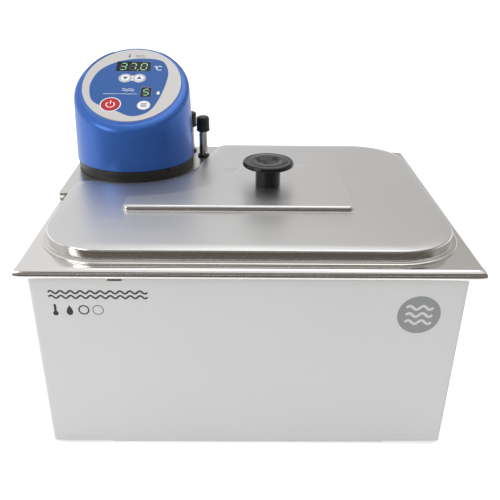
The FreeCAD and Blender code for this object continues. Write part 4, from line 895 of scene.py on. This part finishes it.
def housing_grid(steps=144):
    """Rows from the lower edge up the wall, over the round edge and in to the recess of the keypad.

    In the plane at angle t: m = tan(SLANT) sin t, wall R = radius - LEAN * height, edge q = middle -
    change * sin t, and the edge's arc is r = R - q + q cos a, z = c + q sin a, from a = 0 to 90
    degrees + atan m, where c is the height of its centre.
    """
    turn = np.linspace(-np.pi / 2, 1.5 * np.pi, steps, endpoint=False)
    beside = math.acos((inlet_high[0] - HEAD_X + HOLE_ROOM) / (HOUSING_RADIUS - LEAN * HOLE_HEIGHT))
    for angle in (beside, np.pi - beside):
        turn[np.argmin(np.abs(turn - angle))] = angle
    m = math.tan(SLANT) * np.sin(turn)
    wall = HOUSING_RADIUS - LEAN * (PANEL_Z + m * HOUSING_RADIUS - HOUSING_Z)
    q = EDGE_MIDDLE - EDGE_CHANGE * np.sin(turn)
    arc_r = wall - q
    arc_z = PANEL_Z - UNDER_SLOPE + m * (wall - q) - q * np.sqrt(1 + m**2)
    share = np.clip((arc_z - HOUSING_Z) / FULL_WALL, 0, 1)
    heights = [np.full(steps, HOUSING_Z + SEAM), np.full(steps, HOUSING_Z + SEAM + 0.55)]
    heights += [HOUSING_Z + level * share for level in (inlet_low[2] - HOUSING_Z - HOLE_ROOM,
                                                        inlet_high[2] - HOUSING_Z + HOLE_ROOM)]
    heights += [heights[-1] * (1 - f) + arc_z * f for f in (0.33, 0.66, 1.0)]
    radii = [HOUSING_RADIUS - LEAN * (z - HOUSING_Z) for z in heights]
    radii[0] = radii[0] - SEAM_ROUND
    radii[-1] = wall
    stop = np.pi / 2 + np.arctan(m)
    for f in np.linspace(0, 1, 12)[1:]:
        radii.append(arc_r + q * np.cos(stop * f))
        heights.append(arc_z + q * np.sin(stop * f))
    for r, n in ((RECESS + 0.35, -UNDER_SLOPE), (RECESS + 0.08, -0.2), (RECESS, -0.45),
                 (RECESS, RECESS_FLOOR), (LEDGE, RECESS_FLOOR)):
        radii.append(np.full(steps, r))
        heights.append(PANEL_Z + m * r + n / math.cos(SLANT))
    radii, heights = np.array(radii), np.array(heights)
    return np.stack([HEAD_X + radii * np.cos(turn), HEAD_Y + radii * np.sin(turn), heights], axis=2)


rows = housing_grid()
faces = grid_faces(*rows.shape[:2])
middle = rows.reshape(-1, 3)[np.array(faces)].mean(axis=1)
in_hole = ((np.abs(middle[:, 0] - HEAD_X) < inlet_high[0] - HEAD_X) & (middle[:, 1] > HEAD_Y)
           & (middle[:, 2] > inlet_low[2]) & (middle[:, 2] < inlet_high[2]))
faces = [face for face, hole in zip(faces, in_hole) if not hole]
housing = make_piece("housing", rows, faces, [housing_blue], "bath")
add_thickness(housing, SHELL, even=False)
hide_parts("head_housing")
print("housing", rows.shape, "faces left open for the inlet:", int(in_hole.sum()))

# %% [markdown]
# ## Keypad prints
# The film carries a blue field, a white ring round the power key and small signs. Every print is a
# thin plate laid on the sloping face, in the face's own u (right), v (up the slope) and n (outward).

# %% Places on the sloping face
INK = 0.04
KEY_TOP = 0.5
GLASS = 0.02
LAY = FILM_TOP + INK


def on_panel(points):
    """(u, v, n) as the head's place + (u, v cos s - n sin s, v sin s + n cos s), with s the slant."""
    u, v, n = np.asarray(points).T
    return np.stack([HEAD_X + u, HEAD_Y + v * math.cos(SLANT) - n * math.sin(SLANT),
                     PANEL_Z + v * math.sin(SLANT) + n * math.cos(SLANT)], axis=1)


def level_plates(low, loops_of_each):
    """A plate of ink on a level for each entry, which is a list of loops."""
    return [plate(loops, low, low + INK) for loops in loops_of_each]


def panel_print(name, plates, material, body="bath"):
    points, faces = join(plates)
    return make_piece(name, on_panel(points), faces, [material], body)


def box_loop(u, v, half_u, half_v):
    sides = ((-1, -1), (1, -1), (1, 1), (-1, 1))
    return [(u + side * half_u, v + end * half_v) for side, end in sides]


POWER, MODE = (-15.9, -28.1), (13.2, -28.9)
DOWN, UP = (-6.7, 7.7), (5.9, 7.7)
TEMPERATURE, FLOW = (-0.7, 24.5), (13.7, -11.2)
print("ink", INK, "mm thick, on a face", round(2 * PANEL_HALF_U, 1), "mm across")

# %% Blue field with room for the keys and windows
FIELD = [(-9, -37), (4, -43), (18, -37), (26, -20), (31, 4), (31, 20), (24, 33), (4, 36), (-16, 31),
         (-30, 20), (-36, 6), (-37, -8), (-31, -25)]
pair_room = np.concatenate([arc_line(*DOWN, 6.0, 38, 322), arc_line(*UP, 6.0, -142, 142)])
field = [smooth_loop(FIELD), ring_loop(*POWER, 8.3), ring_loop(*MODE, 6.1), pair_room,
         box_loop(*TEMPERATURE, 15.8, 7.1), box_loop(*FLOW, 4.8, 6.7)]
panel_print("blue_field", level_plates(FILM_TOP, [field]), field_blue)
print("blue field with", len(field) - 1, "rooms in it")

# %% [markdown]
# The signs are drawn from a few shapes: a thermometer, waves of water, a drop and the letter C of the
# degree sign.

# %% Shapes of the signs
def thermometer(u, v, tall):
    """A stem with a round top and a bulb."""
    bulb, stem = tall * 0.2, tall * 0.09
    low = v - tall / 2 + bulb
    mouth = math.degrees(math.asin(stem / bulb))
    return np.concatenate([arc_line(u, low, bulb, 90 + mouth, 450 - mouth, 28),
                           arc_line(u, v + tall / 2 - stem, stem, 0, 180, 12)])


def wave(u, v, length, rise, width, ripples=2):
    """A band of even width along v + rise * sin(2 pi ripples t), with t from 0 to 1 over the length."""
    t = np.linspace(0, 1, 20 * ripples)
    line = np.stack([u + (t - 0.5) * length, v + rise * np.sin(2 * np.pi * ripples * t)], axis=1)
    return ribbon(line, width)


def drop(u, v, tall):
    """(0.36 cos t sqrt((1 - sin t) / 2 + 0.02), 0.5 sin t) times the height: pointed at the top."""
    t = np.linspace(0, 2 * np.pi, 36, endpoint=False)
    return np.stack([u + 0.36 * tall * np.cos(t) * np.sqrt((1 - np.sin(t)) / 2 + 0.02),
                     v + 0.5 * tall * np.sin(t)], axis=1)


def letter_c(u, v, tall):
    """A band along an arc from 50 to 310 degrees."""
    return ribbon(arc_line(u, v, tall / 2, 50, 310), tall * 0.16)


print("a wave has", len(wave(0, 0, 1, 1, 1)), "points")

# %% Signs on the panel
over_field = [[ring_loop(*POWER, 9.3), ring_loop(*POWER, 8.35)],
              [ring_loop(19.4, 24.2, 1.15), ring_loop(19.4, 24.2, 0.65)],
              [letter_c(23.3, 22.0, 5.6)], [box_loop(-9, -14, 15, 0.22)], [drop(24.6, -12.2, 5.0)],
              [wave(-2.5, -9.7, 11, 0.55, 0.55)], [wave(-2.5, -7.5, 11, 0.55, 0.55)]]
beside_keys = [[box_loop(-0.4, 7.7, 0.6, 3.3)]]
beside_keys += [[ring_loop(*key, 5.98), ring_loop(*key, 5.62)] for key in (DOWN, UP)]
panel_print("white_signs", level_plates(LAY, over_field) + level_plates(FILM_TOP, beside_keys), ink_white)
dark = [[thermometer(-6, 40.2, 5.2)], [wave(4, 38.4, 9, 0.5, 0.5)], [wave(4, 40.4, 9, 0.5, 0.5)]]
panel_print("dark_signs", level_plates(FILM_TOP, dark), ink_blue)
print(len(over_field) + len(beside_keys), "white signs and", len(dark), "dark ones")

# %% Signs on the keys
u, v = POWER
power_sign = [[ribbon(arc_line(u, v - 0.3, 3.6, 130, 410), 0.95)], [box_loop(u, v + 2.7, 0.5, 2.1)]]
panel_print("power_sign", level_plates(KEY_TOP, power_sign), ink_white, "power_key")
for body, (u, v), way in (("down_key", DOWN, -1), ("up_key", UP, 1)):
    arrow = [(u - 2.4, v - way * 1.5), (u + 2.4, v - way * 1.5), (u, v + way * 2.4)]
    sign = level_plates(KEY_TOP, [[arrow], [ring_loop(u, v, 4.75), ring_loop(u, v, 4.4)]])
    panel_print(body + "_sign", sign, ink_blue, body)
u, v = MODE
bars = level_plates(KEY_TOP, [[box_loop(u, v + dv, 2.6, 0.42)] for dv in (-1.7, 0, 1.7)])
panel_print("mode_key_sign", bars, ink_blue, "mode_key")
print("four keys carry signs that move with them")

# %% [markdown]
# ## Digits
# Each digit is seven slanted bars. The lit bars glow a pale green and the others barely show.

# %% Seven bars to a digit
BARS = {"a": (0, 1, True), "b": (1, 0.5, False), "c": (1, -0.5, False), "d": (0, -1, True),
        "e": (-1, -0.5, False), "f": (-1, 0.5, False), "g": (0, 0, True)}
DIGITS = {"3": "abcdg", "7": "abc", "0": "abcdef", "5": "acdfg"}
SHEAR = 0.1


def digit(text, u, v, half_u, half_v, lit):
    """The bars that are lit, or those that aren't. A bar's u is moved by SHEAR times its v."""
    found = []
    for bar, (side, level, flat) in BARS.items():
        if (bar in DIGITS[text]) == lit:
            long_u, long_v = (half_u - 0.75, 0.55) if flat else (0.55, half_v / 2 - 0.7)
            loop = np.array(box_loop(side * half_u, level * half_v, long_u, long_v))
            loop[:, 0] += SHEAR * loop[:, 1]
            found.append([loop + [u, v]])
    return found


shown = (("3", -10.2), ("7", -1.4), ("0", 8.6))
for lit, material, name in ((True, digit_green, "digits_lit"), (False, digit_off, "digits_unlit")):
    bars = [bar for text, u in shown for bar in digit(text, u, TEMPERATURE[1], 2.6, 4.6, lit)]
    if lit:
        bars.append([box_loop(3.3, 19.6, 0.6, 0.6)])
    bars += digit("5", *FLOW, 2.2, 4.0, lit)
    panel_print(name, level_plates(GLASS, bars), material, "bath")
    print(name, len(bars), "bars")

# %% [markdown]
# ## Signs on the casing
# Small printed signs stand at the upper left of the casing's front, and a plain round badge with
# three waves at the upper right.

# %% Casing prints
case_low = span("casing")[0]
FRONT_Y = case_low[1]


def casing_print(name, plates, material):
    """Plates laid on the casing's front: x = u, z = v, and n runs forward."""
    points, faces = join(plates)
    u, v, n = points.T
    front = np.stack([u, FRONT_Y - n, v], axis=1)
    return make_piece(name, front, faces, [material], "bath")


UPPER, LOWER = 137.0, 124.5
signs = [[wave(-106.5, UPPER + dv, 69, 1.1, 1.3, 10)] for dv in (-1.9, 1.9)]
signs += [[thermometer(-137.5, LOWER, 9.5)], [drop(-127.5, LOWER - 0.4, 8.0)]]
signs += [[ring_loop(x, LOWER, 3.9), ring_loop(x, LOWER, hole)] for x, hole in ((-117.5, 2.9), (-107.5, 3.4))]
casing_print("casing_signs", level_plates(0, signs), ink_dark)
BADGE_X, BADGE_Z, BADGE_R = 120.0, 121.5, 15.5
badge = [ring_loop(BADGE_X, BADGE_Z, BADGE_R)]
badge += [wave(BADGE_X, BADGE_Z + dv, 19, 1.5, 2.0) for dv in (-6.0, 0.0, 6.0)]
casing_print("casing_badge", level_plates(0, [badge]), ink_grey)
print(len(signs), "signs and a badge")
